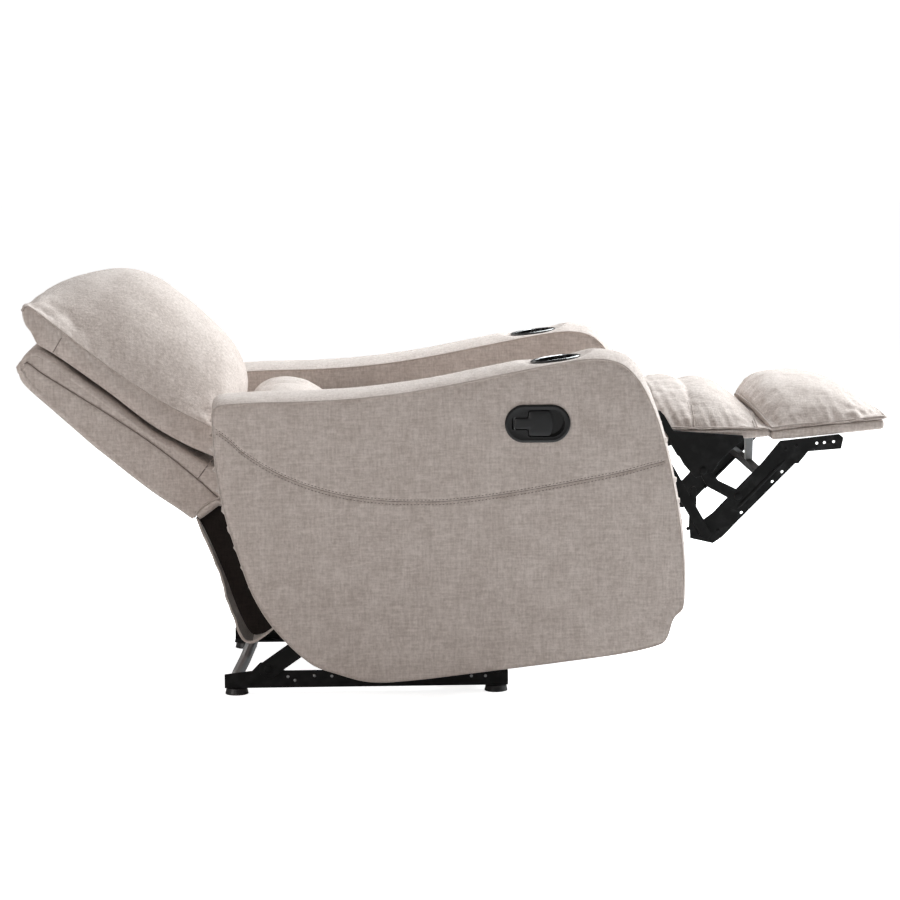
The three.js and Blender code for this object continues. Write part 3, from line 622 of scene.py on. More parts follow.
def arm_band_cover(side, sign):
    round_arm, over = 340, 21
    line = resample(ARM_SEAM, round_arm, closed=True)
    normal = outward(line)
    crown = np.interp(np.arange(round_arm) / round_arm, np.arange(len(ARM_CROWN)) / len(ARM_CROWN), ARM_CROWN)
    t = np.sin(np.linspace(-1, 1, over) * math.pi / 2)
    half = (ARM_OUT - ARM_IN) / 2 - 1.6
    rows = [upright(line + normal * (crown * (1 - abs(across) ** 2.5) - 1.6)[:, None],
                    sign * (ARM_MID + half * across)) for across in t]
    points = np.stack(rows, 1).reshape(-1, 3)
    way = np.repeat(upright(normal, 0.0), over, 0)
    edge = np.tile(1 - np.abs(t) ** 6, round_arm)
    points = points + way * (edge * (0.5 * ripple(points, 120, 8) + 0.25 * ripple(points, 34, 9)))[:, None]
    # the foam is pressed flat under the cup holder's rim
    centre = cup_place(side)
    h = (points - centre) @ CUP_AXIS
    out = np.linalg.norm(points - centre - h[:, None] * CUP_AXIS, axis=1)
    near = (1 - smooth((out - 50) / 24)) * (np.abs(h) < 40)
    points = points - (near * (h + 0.4))[:, None] * CUP_AXIS
    index = np.arange(len(points)).reshape(round_arm, over)
    obj = mesh_piece(f"arm_band_cover_{side}", points, grid_faces(index, closed_rows=True), UPHOLSTERY)
    if obj.data.polygons[(over - 1) * 60 + 10].normal.z < 0:
        obj.data.flip_normals()
    thicken(obj, 11)
    a = np.linspace(0, 2 * math.pi, 48, endpoint=False)
    flat = np.column_stack([np.cos(a) * math.cos(TILT), np.sin(a), np.cos(a) * math.sin(TILT)]) * 42.6
    cut_away(obj, centre + flat - CUP_AXIS * 60, centre + flat + CUP_AXIS * 40)
    soft_edges(obj)
    dress(obj, "body", f"arm_band_{side}", fill=0.85)


def arm_seams(side, sign):
    line = resample(ARM_SEAM, 420, closed=True)
    tucked = line - outward(line) * 0.9
    for label, y in (("outer", ARM_OUT - 2.4), ("inner", ARM_IN + 2.4)):
        dress(tube(f"arm_{label}_seam_{side}", upright(tucked, sign * y), 1.5, PIPING, closed=True), "body")
    seam = resample(CURVED_SEAM[(CURVED_SEAM[:, 0] > -250) & (CURVED_SEAM[:, 0] < 553)], 300)
    on_arm = lambda line, lift: upright(line, sign * (ARM_OUT + arm_face(line, True) + lift))
    dress(tube(f"arm_curved_seam_{side}", on_arm(seam, -0.3), 0.9, THREAD), "body")
    rows = [on_arm(seam - [0, drop], 0.4) for drop in (5.0, -3.4)]
    dress(stitches(f"arm_stitching_{side}", rows, THREAD), "body")


for side, sign in SIDES.items():
    arm_side_cover(side, sign, True)
    arm_side_cover(side, sign, False)
    arm_band_cover(side, sign)
    arm_seams(side, sign)


# ---------------------------------------------------------------- stuffed pieces
def lattice(nu, nv, nw):
    """The shell of a box of cells: its points as shares (u, v, w) and its quads."""
    number, order = {}, []
    for i in range(nu + 1):
        for j in range(nv + 1):
            for k in range(nw + 1):
                if i in (0, nu) or j in (0, nv) or k in (0, nw):
                    number[i, j, k] = len(order)
                    order.append((i / nu, j / nv, k / nw))
    quads = []

    def add(*corners):
        quads.append([number[c] for c in corners])

    for i in range(nu):
        for j in range(nv):
            add((i, j, nw), (i + 1, j, nw), (i + 1, j + 1, nw), (i, j + 1, nw))
            add((i, j, 0), (i, j + 1, 0), (i + 1, j + 1, 0), (i + 1, j, 0))
        for k in range(nw):
            add((i, 0, k), (i + 1, 0, k), (i + 1, 0, k + 1), (i, 0, k + 1))
            add((i, nv, k), (i, nv, k + 1), (i + 1, nv, k + 1), (i + 1, nv, k))
    for j in range(nv):
        for k in range(nw):
            add((0, j, k), (0, j, k + 1), (0, j + 1, k + 1), (0, j + 1, k))
            add((nu, j, k), (nu, j + 1, k), (nu, j + 1, k + 1), (nu, j, k + 1))
    return np.array(order), quads


def inflate(obj, held, cap, frames=20):
    """Blows the cover up like a stuffed cushion with its seams held, by `cap` metres at most, and keeps it."""
    scene = bpy.context.scene
    group = obj.vertex_groups.new(name="held")
    for weight in np.unique(held):
        group.add(np.nonzero(held == weight)[0].tolist(), float(weight), "REPLACE")
    rest = np.array([v.co for v in obj.data.vertices])
    scene.frame_set(1)
    cloth = obj.modifiers.new("stuffing", "CLOTH")
    s = cloth.settings
    s.quality, s.mass = 5, 0.3
    s.tension_stiffness = s.compression_stiffness = 12
    s.shear_stiffness, s.bending_stiffness = 4, 0.4
    s.use_pressure, s.uniform_pressure_force = True, 4.0
    s.effector_weights.gravity = 0
    s.shrink_min = -0.02
    s.vertex_group_mass = "held"
    cloth.collision_settings.use_collision = False
    cloth.point_cache.frame_start, cloth.point_cache.frame_end = 1, frames
    for f in range(1, frames + 1):
        scene.frame_set(f)
    made = obj.evaluated_get(bpy.context.evaluated_depsgraph_get())
    moved = np.array([v.co for v in made.data.vertices]) - rest
    obj.modifiers.remove(cloth)
    obj.vertex_groups.remove(group)
    scene.frame_set(1)
    size = np.linalg.norm(moved, axis=1, keepdims=True)
    rest += moved * cap / (cap + size)
    obj.data.vertices.foreach_set("co", rest.astype(np.float32).ravel())
    obj.data.update()


def pillow(name, under, edge, crown, half, cells, rise=2.4, pull=5.0, bulge=5.0, channels=(), seed=1,
           wrinkle=1.0, cap=0.024, crown_share=1.0, stuffed=True, corner=0.0):
    """A stuffed pad between an underside line, a side seam line and the line of its crown.

    half is its half width and cells the faces along, across and up. Each channel (place, width, depth) is a sewn
    row across it. Returns the piece and its seam, which holds the shares u, v, w and the points in mm."""
    nu, nv, nw = cells
    shares, quads = lattice(nu, nv, nw)
    u, v, w = shares[:, 0], shares[:, 1] * 2 - 1, shares[:, 2]
    v = np.sign(v) * (1 - (1 - np.abs(v)) ** 1.25)

    def pick(knots):
        line = spline(knots, 240)
        return np.column_stack([np.interp(u * 239, np.arange(240), line[:, k]) for k in (0, 1)])

    low, side, top = pick(under), pick(edge), pick(crown)
    risen = (1 - np.abs(v) ** rise) * crown_share
    sewn = np.zeros(len(u))
    for place, width, depth in channels:
        dip = np.exp(-(((u - place) / width) ** 2))
        risen = risen * (1 - depth * dip)
        sewn = np.maximum(sewn, (np.abs(u - place) < 0.5 / nu) * 1.0)
    upper = side + (top - side) * risen[:, None]
    xz = low + (upper - low) * w[:, None]
    swollen = np.sin(math.pi * w)
    y = v * (half - bulge - pull * np.sin(math.pi * u)) + np.sign(v) * (np.abs(v) == 1) * bulge * swollen
    run = (side[-1] - side[0]) / np.linalg.norm(side[-1] - side[0])
    for end, way in ((0, -1), (1, 1)):
        xz = xz + ((u == end) * way * bulge * swollen)[:, None] * run
    obj = mesh_piece(name, upright(xz, y), quads, UPHOLSTERY)
    border = (w == 1) & ((np.abs(v) == 1) | (u == 0) | (u == 1))
    held = np.where((w == 0) | border, 1.0, 0.0)
    held = np.maximum(held, sewn * (w == 1))
    if stuffed:
        inflate(obj, held, cap)
    # gathers rise from the sewn edges and die out over the crown
    co = np.array([p.co for p in obj.data.vertices])
    normal = np.array([p.normal for p in obj.data.vertices])
    mm = (co - [DATUM_X, 0, 0]) / MM
    near = np.exp(-(1 - np.abs(v)) * half / 38) + np.exp(-np.minimum(u, 1 - u) * 9)
    along = mm[:, :1] + mm[:, 2:] * 0.4
    gather = ripple(along, 24, seed) * near * (w > 0.4) * (1 - border)
    lumps = ripple(mm, 110, seed + 1) * 1.4 + ripple(mm, 45, seed + 2) * 0.5
    free = (w > 0) * (1 - border)
    # folds fan out from the four sewn corners of the top
    long = np.linalg.norm(side[-1] - side[0]) * np.minimum(u, 1 - u)
    wide = (1 - np.abs(v)) * half
    fan = np.cos(np.arctan2(wide, long + 1e-6) * 15 + 0.9 * np.sign(v) + 2.0 * (u > 0.5) + seed)
    reach = np.hypot(long, wide)
    gather = gather + corner * fan * np.exp(-reach / 48) * smooth(reach / 16) * (w == 1) * free
    co += normal * ((gather * 1.3 + lumps * free) * wrinkle * MM)[:, None]
    co[:, 1] = np.clip(co[:, 1], -half * MM, half * MM)
    obj.data.vertices.foreach_set("co", co.astype(np.float32).ravel())
    obj.data.update()
    seam = {"u": u, "v": v, "w": w, "points": (co - [DATUM_X, 0, 0]) / MM}
    finer = obj.modifiers.new("finer", "SUBSURF")
    finer.levels = finer.render_levels = 1
    return obj, seam


def seam_line(seam, wanted, sort):
    """The points of a sewn row, in order."""
    rows = np.nonzero(wanted)[0]
    return seam["points"][rows[np.argsort(sort[rows])]]


def edge_welt(name, seam, radius):
    """A closed welt round the top edge of a pad."""
    u, v, w = seam["u"], seam["v"], seam["w"]
    at = np.isclose(w, 1)
    near = seam_line(seam, at & (v == -1), u)
    front = seam_line(seam, at & (u == 1), v)[1:]
    far = seam_line(seam, at & (v == 1), u)[::-1][1:]
    rear = seam_line(seam, at & (u == 0), v)[::-1][1:-1]
    path = resample(np.vstack([near, front, far, rear]), 260, closed=True)
    middle = path.mean(0)
    out = path - middle
    out[:, 2] = 0
    out /= np.linalg.norm(out, axis=1)[:, None]
    return tube(name, path + out * 0.4, radius, PIPING, closed=True)


back_cushion, back_seam = pillow(
    "back_pillow",
    [(-578, 652), (-548, 634), (-507, 605), (-444, 558), (-373, 502), (-310, 465), (-254, 440)],
    [(-602, 713), (-592, 722), (-549, 690), (-478, 633), (-407, 581), (-335, 535), (-273, 503), (-230, 478)],
    [(-618, 709), (-596, 730), (-553, 749), (-508, 767), (-462, 776), (-405, 774), (-349, 748), (-282, 690),
     (-237, 642), (-213, 603), (-203, 565), (-208, 522)],
    BACK_HALF, (66, 52, 6), seed=11, crown_share=0.95, corner=3.2)
dress(back_cushion, "back", "back_cushion", fill=0.8)
dress(edge_welt("back_pillow_seam", back_seam, 1.7), "back")


def gusset_seam(name, pillow_obj, line, sign):
    """A short sunk seam across the pillow's side, laid on its surface."""
    mesh = pillow_obj.data
    skin = BVHTree.FromPolygons([v.co for v in mesh.vertices], [p.vertices[:] for p in mesh.polygons])
    path = []
    for x, z in resample(line, 16):
        start = Vector(put([x, sign * 420, z]).tolist())
        spot = skin.ray_cast(start, Vector((0, -sign, 0)))[0]
        if spot is not None:
            path.append([x, spot.y / MM, z])
    return tube(name, np.array(path), 0.8, THREAD)


for side, sign in SIDES.items():
    dress(gusset_seam(f"back_pillow_join_{side}", back_cushion, [(-532, 664), (-553, 630)], sign), "back")


# ---------------------------------------------------------------- back board, lumbar roll
def wrapped_board(name, loop, start, end, middle, half, radius=13, columns=110, rows=12, groove=2.2, crown=3.0,
                  seed=2, across=24):
    """A padded board seen from the side as a closed loop: two side panels and one cover wrapped round them.

    Its lower end is covered with dark lining."""
    inset = loop - outward(loop) * radius
    near = lambda p: int(np.argmin(np.hypot(*(inset - p).T)))
    grid = side_grid(inset, near(start), near(end), middle, columns, rows, trim=8)
    c, r = grid.shape[:2]
    flat = grid.reshape(-1, 2)
    index = np.arange(c * r).reshape(c, r)
    ring = rim(index)
    edge = flat[ring]
    normal = outward(edge)
    from_edge = gap_to(flat, np.vstack([edge, (edge + np.roll(edge, 1, 0)) / 2]))
    seam = gap_to(flat, resample(middle, 300))
    face = 1.2 * (1 - np.exp(-from_edge / 25)) + 0.5 * ripple(flat, 70, seed)
    face = (np.where(from_edge < 0.01, 0, face) - groove * np.exp(-(seam / 2.4) ** 2)
            - groove * 0.5 * np.exp(-seam / 9))
    sides = [upright(flat, s * (half - radius * 0.06 + np.minimum(face - 1.2, 0.2))) for s in (-1, 1)]
    points = [sides[0]]
    turn = np.linspace(0, math.pi / 2, 6)[1:]
    rings = [(radius * math.sin(a), -(half - radius * (1 - math.cos(a)))) for a in turn]
    flat_half = half - radius
    rings += [(radius, y) for y in np.linspace(-flat_half, flat_half, across)[1:-1]]
    rings += [(out, -y) for out, y in rings[4::-1]]
    count = len(flat)
    numbers = [ring]
    for out, y in rings:
        spread = np.column_stack([edge, np.full(len(edge), y)])
        bow = crown * (1 - (y / half) ** 2) + 0.8 * ripple(spread, 90, seed + 5)
        bow = np.where(abs(y) > flat_half + 1, 0, bow)
        row = edge + normal * (out + bow)[:, None]
        points.append(upright(row, y))
        numbers.append(np.arange(count, count + len(row)))
        count += len(row)
    numbers.append(ring + count)
    points.append(sides[1])
    faces = grid_faces(index).tolist() + (grid_faces(index) + count)[:, ::-1].tolist()
    faces += grid_faces(np.array(numbers), closed_cols=True).tolist()
    obj = closed_piece(name, np.vstack(points), faces, UPHOLSTERY, 50)
    obj.data.materials.append(LINING)
    for face in obj.data.polygons:
        x, y, z = (face.center - Vector((DATUM_X, 0, 0))) / MM
        if x > -286 and z < 372 and abs(y) < half - 12 and face.normal.z < 0.2:
            face.material_index = 1
    return obj


BOARD_LOOP = spline([
    (-226, 398), (-248, 420), (-275, 432), (-320, 460), (-373, 493), (-444, 548), (-507, 596), (-548, 628),
    (-573, 643), (-590, 641), (-604, 628), (-612, 608), (-610, 590), (-600, 575), (-582, 557), (-552, 530),
    (-508, 490), (-464, 452), (-420, 415), (-374, 379), (-330, 348), (-298, 326), (-287, 327), (-262, 345),
    (-240, 362), (-228, 380)], 700, closed=True)
BOARD_SEAM = spline([(-604, 608), (-596, 619), (-569, 599), (-510, 561), (-435, 512.5), (-359, 459), (-289, 401),
                     (-256, 370), (-246, 364)], 200)
dress(wrapped_board("back_board_cover", BOARD_LOOP, (-606, 607), (-248, 366), BOARD_SEAM, BACK_HALF),
      "back", "back_shell", fill=0.9)


def board_side_seams(side, sign):
    hem = spline([(-297, 331), (-288, 345), (-272, 358), (-254, 366), (-238, 371)], 60)
    for label, line, radius, material in (
            ("seam", resample(BOARD_SEAM[4:-2], 160), 1.1, THREAD),
            ("cross_seam", resample([(-289, 403), (-259, 443)], 20), 0.9, THREAD),
            ("hem", hem, 2.0, PIPING)):
        dress(tube(f"board_{label}_{side}", upright(line, sign * (BACK_HALF - 1.6)), radius, material), "back")


for side, sign in SIDES.items():
    board_side_seams(side, sign)

lumbar, _ = pillow(
    "lumbar_roll",
    [(-200, 470), (-150, 458), (-95, 465), (-62, 480)],
    [(-205, 500), (-150, 505), (-95, 505), (-55, 505)],
    [(-196, 532), (-181, 548), (-150, 556), (-116, 555), (-78, 543), (-54, 518)],
    BACK_HALF - 2, (24, 40, 4), rise=5, seed=31, cap=0.010, crown_share=0.96)
dress(lumbar, "back", "lumbar_pad", fill=0.6)

# ---------------------------------------------------------------- footrest pads and their wrapped boards
mid_pad, mid_seam = pillow(
    "mid_pillow",
    [(557, 483), (620, 482), (690, 481.5), (761, 482)],
    [(557, 488), (585, 487), (620, 486), (670, 485), (735, 484), (763, 484)],
    [(553, 560), (586, 566), (624, 566), (663, 559), (692, 548), (721, 531), (744, 512), (763, 492)],
    PAD_HALF, (42, 56, 3), rise=3.0, channels=((0.31, 0.007, 0.08), (0.88, 0.006, 0.06)), seed=41, cap=0.016,
    crown_share=0.88, wrinkle=1.5, corner=1.5)
dress(mid_pad, "mid_rest", "mid_pad", fill=0.8)
foot_pad, foot_seam = pillow(
    "foot_pillow",
    [(769, 479), (838, 485.5), (907, 492), (975, 498.5)],
    [(768, 485), (800, 489), (856, 493), (910, 497), (977, 504)],
    [(742, 522), (740, 536), (752, 551), (776, 563), (806, 569), (846, 571), (894, 562), (933, 544), (963, 521),
     (981, 507)],
    PAD_HALF, (42, 56, 3), rise=3.0, seed=51, cap=0.018, crown_share=0.90, wrinkle=1.3, corner=2.6)
dress(foot_pad, "foot_panel", "footrest_pad", fill=0.8)
dress(edge_welt("mid_pillow_welt", mid_seam, 1.8), "mid_rest")
dress(edge_welt("foot_pillow_welt", foot_seam, 1.8), "foot_panel")
for name, body, node, low, high in (
        ("mid_board_wrap", "mid_rest", "mid_board",
         [(557, 468), (620, 465), (664, 463.5), (714, 465), (761, 469)], [(557, 482.5), (664, 481), (761, 482)]),
        ("foot_board_wrap", "foot_panel", "footrest_board",
         [(768, 462.5), (840, 467.8), (974, 480.5)], [(768, 478.5), (974, 498)])):
    wrap, _ = pillow(name, low, high, high, PAD_HALF - 0.6, (28, 30, 3), pull=0.5, bulge=1.6, wrinkle=0.25,
                     stuffed=False, seed=61)
    dress(wrap, body, node, fill=1.0)


def channel_seam(name, seam, share, cells, body, spread=3.4):
    """Two thin ridges either side of a sewn channel across a pad."""
    u, v, w = seam["u"], seam["v"], seam["w"]
    column = round(share * cells) / cells
    line = seam_line(seam, np.isclose(u, column) & (w == 1), v)
    line = resample(line, 120)
    for label, shift in (("rear", -spread), ("front", spread)):
        path = line + [shift, 0, 0.3]
        dress(tube(f"{name}_{label}", path, 1.15, PIPING), body)


channel_seam("mid_channel", mid_seam, 0.31, 42, "mid_rest")
channel_seam("mid_front_channel", mid_seam, 0.88, 42, "mid_rest", spread=2.2)

# ---------------------------------------------------------------- seat
DECK_REAR, DECK_HEIGHT = 4, 388


def deck_z(x, above=0):
    return DECK_HEIGHT + above + math.tan(TILT) * (x - DECK_REAR)


seat_pad, seat_seam = pillow(
    "seat_pillow",
    [(4, deck_z(4, 6)), (180, deck_z(180, 6)), (360, deck_z(360, 6)), (503, deck_z(503, 6))],
    [(4, deck_z(4, 56)), (180, deck_z(180, 60)), (360, deck_z(360, 60)), (503, deck_z(503, 46))],
    [(4, deck_z(4, 72)), (180, deck_z(180, 92)), (360, deck_z(360, 90)), (466, deck_z(466, 82)),
     (503, deck_z(503, 62))],
    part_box("seat_cushion")[1].y / MM, (50, 46, 5), rise=4, seed=71, cap=0.014, crown_share=0.8,
    channels=((0.62, 0.014, 0.25),))
dress(seat_pad, "body", "seat_cushion", fill=0.85)
dress(edge_welt("seat_pillow_welt", seat_seam, 2.0), "body")
channel_seam("seat_channel", seat_seam, 0.62, 50, "body")


# ---------------------------------------------------------------- seat support
def seat_straps():
    """Webbing straps woven over and under each other on the seat frame."""
    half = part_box("seat_deck")[1].y / MM - 2
    xs = np.linspace(30, 480, 7)
    ys = np.linspace(-half + 32, half - 32, 5)
    points, faces = [], []

    def strap(path, width_way, width=50):
        base = sum(len(p) for p in points)
        n = len(path)
        up = np.array([0, 0, 0.55])
        ring = [path - width_way * width / 2 - up, path + width_way * width / 2 - up,
                path + width_way * width / 2 + up, path - width_way * width / 2 + up]
        points.append(np.stack(ring, 1).reshape(-1, 3))
        faces.extend(ring_faces(np.arange(n * 4).reshape(n, 4) + base))

    for k, y in enumerate(ys):
        x = np.linspace(5, 505, 90)
        wave = 0.62 * np.cos((x - xs[0]) / (xs[1] - xs[0]) * math.pi + k * math.pi)
        strap(np.column_stack([x, np.full(90, y), deck_z(x, 2.2) + wave]), np.array([0, 1, 0]))
    for k, x in enumerate(xs):
        y = np.linspace(-half, half, 80)
        wave = -0.62 * np.cos((y - ys[0]) / (ys[1] - ys[0]) * math.pi + k * math.pi)
        strap(np.column_stack([np.full(80, x), y, deck_z(x, 2.2) + wave]), np.array([0.99, 0, 0.127]))
    obj = closed_piece("seat_straps", np.vstack(points), faces, WEB, 30)
    dress(obj, "body", "seat_deck", slot="webbing")


seat_straps()


def rear_flap():
    """One cloth from the back board's foot down to the body, hemmed at its sides."""
    line = spline([(-293, 329), (-278, 290), (-263, 252), (-250, 214), (-239, 176), (-228, 142), (-217, 113),
                   (-209, 101), (-199, 96), (-188, 98), (-172, 108), (-153, 123)], 64)
    normal = np.gradient(line, axis=0)
    normal = np.column_stack([-normal[:, 1], normal[:, 0]])
    normal /= np.linalg.norm(normal, axis=1)[:, None]
    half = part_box("rear_flap")[1].y / MM
    along, across = len(line), 49
    run = np.linspace(0, 1, along)
    skins = []
    for side_of in (0.9, -0.9):
        rows = []
        for y in np.linspace(-half, half, across):
            spot = np.column_stack([line, np.full(along, y)])
            slack = 1.6 * ripple(spot, 95, 14) + 0.8 * ripple(spot, 40, 15)
            hem = 0.8 * (abs(y) > half - 14)
            lift = side_of * (1 + hem) + slack * np.sin(math.pi * run) ** 0.5
            rows.append(upright(line + normal * lift[:, None], y))
        skins.append(np.stack(rows, 1).reshape(-1, 3))
    index = np.arange(along * across).reshape(along, across)
    obj = closed_piece("rear_flap_cloth", np.vstack(skins), skin_faces(index), UPHOLSTERY, 50)
    # the faces turned in towards the body take the darker copy of the cloth: painted shade for the shaded hollow
    # behind the flap
    obj.data.materials.append(FLAP_PAINTED_SHADE)
    for face in obj.data.polygons:
        if face.normal.x * 0.9 + face.normal.z * 0.45 > 0.2 and abs(face.center.y) / MM < half - 6:
            face.material_index = 1
    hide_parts("rear_flap")
    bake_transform(obj)


def flap_gap_shade_sheet(side, sign):
    """A near-black sheet that closes one side of the flap, inboard of its hem: painted shade standing in for the
    shaded gap between the flap and the arm.
    """
    behind = spline([(-288, 325), (-271, 290), (-255, 252), (-240, 214), (-227, 176), (-214, 143), (-202, 120),
                     (-190, 109), (-172, 112), (-155, 123)], 48)
    front = spline([(-232, 366), (-208, 335), (-190, 300), (-176, 262), (-166, 225), (-158, 190), (-154, 160),
                    (-152, 142), (-152, 131), (-152, 125)], 48)
    share = np.linspace(0, 1, 9)[None, :, None]
    flat = (behind[:, None] * (1 - share) + front[:, None] * share).reshape(-1, 2)
    index = np.arange(len(flat)).reshape(len(behind), -1)
    y = sign * (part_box("rear_flap")[1].y / MM - 8) + 1.5 * ripple(flat, 60, 18)
    points = np.vstack([upright(flat, y + d) for d in (-0.5, 0.5)])
    obj = closed_piece(f"flap_gap_shade_sheet_{side}", points, skin_faces(index), FLAP_GAP_SHADE_SHEET, 50)
    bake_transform(obj)


rear_flap()
for side, sign in SIDES.items():
    flap_gap_shade_sheet(side, sign)


# ---------------------------------------------------------------- release lever
def rounded(points, radius, steps=5):
    """A polygon with its corners rounded."""
    p = np.asarray(points, float)
    out = []
    for a, b, c in zip(np.roll(p, 1, 0), p, np.roll(p, -1, 0)):
        ab, cb = a - b, c - b
        r = min(radius, np.linalg.norm(ab) / 2.05, np.linalg.norm(cb) / 2.05)
        s, e = b + ab / np.linalg.norm(ab) * r, b + cb / np.linalg.norm(cb) * r
        for t in np.linspace(0, 1, steps):
            out.append((1 - t) ** 2 * s + 2 * t * (1 - t) * b + t * t * e)
    return np.array(out)


def turned_loft(name, rings, material):
    """A closed piece through matching [x, z] loops, each at its own distance out from the arm's board."""
    n = len(rings[0][0])
    points = np.vstack([upright(loop, -(ARM_OUT + out)) for loop, out in rings])
    return closed_piece(name, points, ring_faces(np.arange(len(rings) * n).reshape(len(rings), n)), material)


def paddle_outline(g):
    """The T-shaped paddle's outline, grown by g mm; the rear of the neck needs more room to turn."""
    lower = [(-42 - 4 * g, -10 - g), (-16 - g, -10 - g), (-16 - g, -23 - g), (22 + g, -23 - g), (26 + g, -12)]
    return rounded(lower + [(27.5 + g, 0)] + [(x, -z) for x, z in lower[::-1]], 5) + BEZEL_MID


def release_lever():
    bezel = turned_loft("lever_surround", [
        (oval(4.9), -23.6), (oval(4.9), 0.5), (oval(0), 0.5), (oval(0), 2.0), (oval(0.7), 3.1), (oval(2.2), 3.6),
        (oval(5.0), 3.3)], PLASTIC)
    t = np.linspace(-math.pi / 2, math.pi / 2, 24)
    r = 24.3
    well = np.vstack([np.column_stack([r + r * np.cos(t), r * np.sin(t)]), [(8, r), (8, -r)]]) + BEZEL_MID
    for hole, depth in ((paddle_outline(1.1), 20), (well, 20.5)):
        cut_away(bezel, upright(hole, -(ARM_OUT + 10)), upright(hole, -(ARM_OUT - depth)))
    edges = bezel.modifiers.new("edges", "BEVEL")
    edges.width, edges.segments, edges.limit_method = 0.5 * MM, 2, "ANGLE"
    edges.harden_normals = True
    soft_edges(bezel, 40)
    dress(bezel, "body", "lever_bezel", slot="black_plastic")
    flat = paddle_outline(0)
    middle = flat.mean(0)
    draw_in = lambda share: middle + (flat - middle) * share
    paddle = turned_loft("lever_handle", [
        (draw_in(0.97), -7.4), (flat, -6.0), (flat, 0.9), (draw_in(0.975), 2.0), (draw_in(0.93), 2.5),
        (draw_in(0.6), 3.0), (draw_in(0.2), 3.1)], SATIN_PLASTIC)
    soft_edges(paddle, 50)
    dress(paddle, "lever", "lever_paddle", slot="black_plastic")


release_lever()


# ---------------------------------------------------------------- rivets, springs and pressed ridges
def domes(name, body, radius, height, places, material, slot):
    """Domed heads on both sides: places are (x, z, distance out)."""
    points, faces = [], []
    sides, base = 20, 0
    a = np.linspace(0, 2 * math.pi, sides, endpoint=False)
    profile = [(1.0, -0.6), (1.0, 0.35), (0.93, 0.62), (0.72, 0.86), (0.38, 0.98)]
    for (x, z, out), sign in [(spot, sign) for spot in places for sign in SIDES.values()]:
        for r, h in profile:
            y = sign * (out + height * h)
            points += [(x + radius * r * math.cos(t), y, z + radius * r * math.sin(t)) for t in a]
        faces += ring_faces(np.arange(len(profile) * sides).reshape(len(profile), sides) + base)
        base += len(profile) * sides
    dress(closed_piece(name, np.array(points), faces, material, 45), body, slot=slot)


RAIL_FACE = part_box("base_rail_left")[1].y / MM
LINK_FACE, BRACKET_FACE, CURVED_FACE, CHANNEL_FACE = 256.1, 252.6, 249.1, 245.6
domes("rail_rivets", "base", 2.9, 1.6, [(x, z, RAIL_FACE) for x, z in (
    (-129, 33), (-116, 26), (-80, 34), (-48, 33), (210, 30), (236, 30))], GREY_STEEL, "grey_steel")
for name, body, radius, height, places in (
        ("rear_link_pivots", "rear_links", 8, 2.6, [(-165, 48, LINK_FACE)]),
        ("front_link_pivots", "front_links", 8, 2.6, [(258.6, 45, LINK_FACE)]),
        ("foot_hinge_pivots", "mid_rest", 7.5, 2.2, [(704, 360, CURVED_FACE), (639, 409, BRACKET_FACE)]),
        ("channel_studs", "foot_panel", 3.4, 1.4, [(x, z, CHANNEL_FACE) for x, z in (
            (612, 300), (668, 296), (792, 446), (812, 452))])):
    domes(name, body, radius, height, places, BLACK_STEEL, "black_steel")

for side, sign in SIDES.items():
    ridge = spline([(700, 334), (742, 376), (793, 427)], 40)
    swell = 3.4 * np.sqrt(np.clip(np.sin(np.linspace(0, math.pi, 40)) * 3, 0.02, 1))
    bead = tube(f"channel_ridge_{side}", upright(ridge, sign * (CHANNEL_FACE - 0.8)), swell, BLACK_STEEL,
                sides=12)
    dress(bead, "foot_panel", slot="black_steel")
    low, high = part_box(f"return_spring_{side}")
    y = (low.y + high.y) / 2 / MM
    turns, per_turn, radius = 34, 12, 4.2
    t = np.linspace(0, 1, turns * per_turn)
    angle = t * turns * 2 * math.pi
    coil = np.column_stack([72 + t * 160, y + radius * np.cos(angle),
                            np.interp(t, [0, 0.62, 1], [270, 278, 286]) + radius * np.sin(angle)])
    spring = tube(f"return_coil_{side}", coil, 0.8, GREY_STEEL, sides=5)
    dress(spring, "body", f"return_spring_{side}", slot="grey_steel")


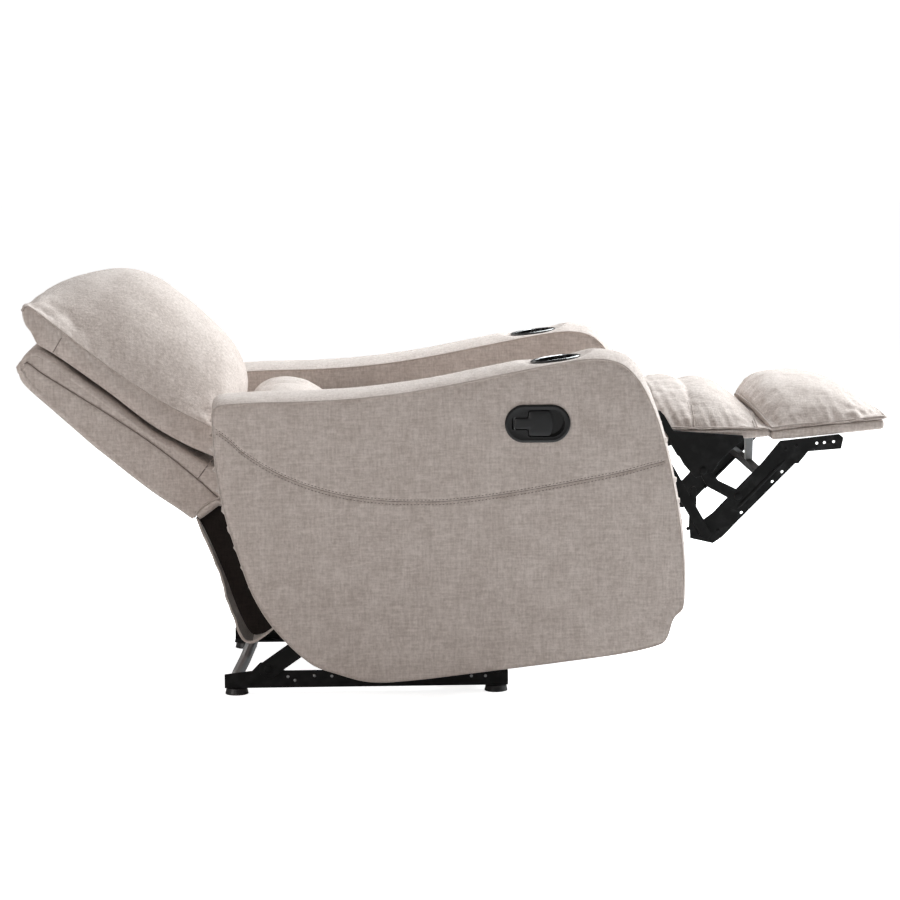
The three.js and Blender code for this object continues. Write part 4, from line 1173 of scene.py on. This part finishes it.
# ---------------------------------------------------------------- floor, light and camera
def build_stage():
    material, tree, shader = start_material("pale_floor", Roughness=0.9)
    shader.inputs["Base Color"].default_value = (0.92, 0.92, 0.92, 1)
    shader.inputs["Emission Color"].default_value = (1, 1, 1, 1)
    seen = add_node(tree, "ShaderNodeLightPath").outputs["Is Camera Ray"]
    tree.links.new(maths(tree, "MULTIPLY", seen, 0.86), shader.inputs["Emission Strength"])
    reach = 30.0
    floor_mesh = bpy.data.meshes.new("studio_floor")
    floor_mesh.from_pydata([(-reach, -reach, 0), (reach, -reach, 0), (reach, reach, 0), (-reach, reach, 0)], [],
                           [(0, 1, 2, 3)])
    floor_mesh.materials.append(material)
    floor = bpy.data.objects.new("studio_floor", floor_mesh)
    bpy.context.scene.collection.objects.link(floor)
    world = bpy.data.worlds.new("studio")
    world.use_nodes = True
    tree = world.node_tree
    back = tree.nodes["Background"]
    seen = add_node(tree, "ShaderNodeLightPath").outputs["Is Camera Ray"]
    back.inputs["Color"].default_value = (1.0, 0.955, 0.925, 1)
    tree.links.new(maths(tree, "ADD", seen, 0.17), back.inputs["Strength"])
    bpy.context.scene.world = world
    for name, place, aim, size, power, colour in (
            ("top_softbox", (1.0, 2.2, 3.0), (0.0, 0.0, 0.4), (2.6, 2.4), 172, (0.93, 0.98, 1.0)),
            ("right_softbox", (3.5, 0.9, 2.2), (0.1, 0.0, 0.4), (2.2, 2.0), 205, (0.93, 0.98, 1.0)),
            ("side_softbox", (-3.2, -3.0, 1.6), (-0.4, 0.0, 0.4), (2.4, 1.8), 54, (1.0, 0.955, 0.925)),
            ("back_softbox", (-2.4, 3.2, 2.4), (0.0, 0.0, 0.4), (2.6, 2.0), 14, (1.0, 0.98, 0.96))):
        light = bpy.data.lights.new(name, "AREA")
        light.shape, light.size, light.size_y, light.energy = "RECTANGLE", *size, power
        light.color = colour
        obj = bpy.data.objects.new(name, light)
        obj.location = place
        obj.rotation_euler = (Vector(aim) - Vector(place)).to_track_quat("-Z", "Y").to_euler()
        bpy.context.scene.collection.objects.link(obj)


def build_camera():
    data = bpy.data.cameras.new("main_camera")
    data.lens, data.sensor_width = 116.0, 36.0
    data.clip_start, data.clip_end = 0.1, 100
    camera = bpy.data.objects.new("main_camera", data)
    bpy.context.scene.collection.objects.link(camera)
    yaw, pitch, roll = math.radians(1.88), math.radians(6.6), math.radians(0.4)
    d = Vector((math.sin(yaw) * math.cos(pitch), math.cos(yaw) * math.cos(pitch), -math.sin(pitch)))
    r = d.cross(Vector((0, 0, 1))).normalized()
    u = r.cross(d)
    c, s = math.cos(roll), math.sin(roll)
    across, up = c * r - s * u, s * r + c * u
    turn = Matrix((across, up, -d)).transposed().to_4x4()
    camera.matrix_world = Matrix.Translation((-0.180, -5.53, 1.0625)) @ turn
    bpy.context.scene.camera = camera


build_stage()
build_camera()
bpy.context.scene.view_settings.view_transform = "Standard"
bpy.context.view_layer.update()
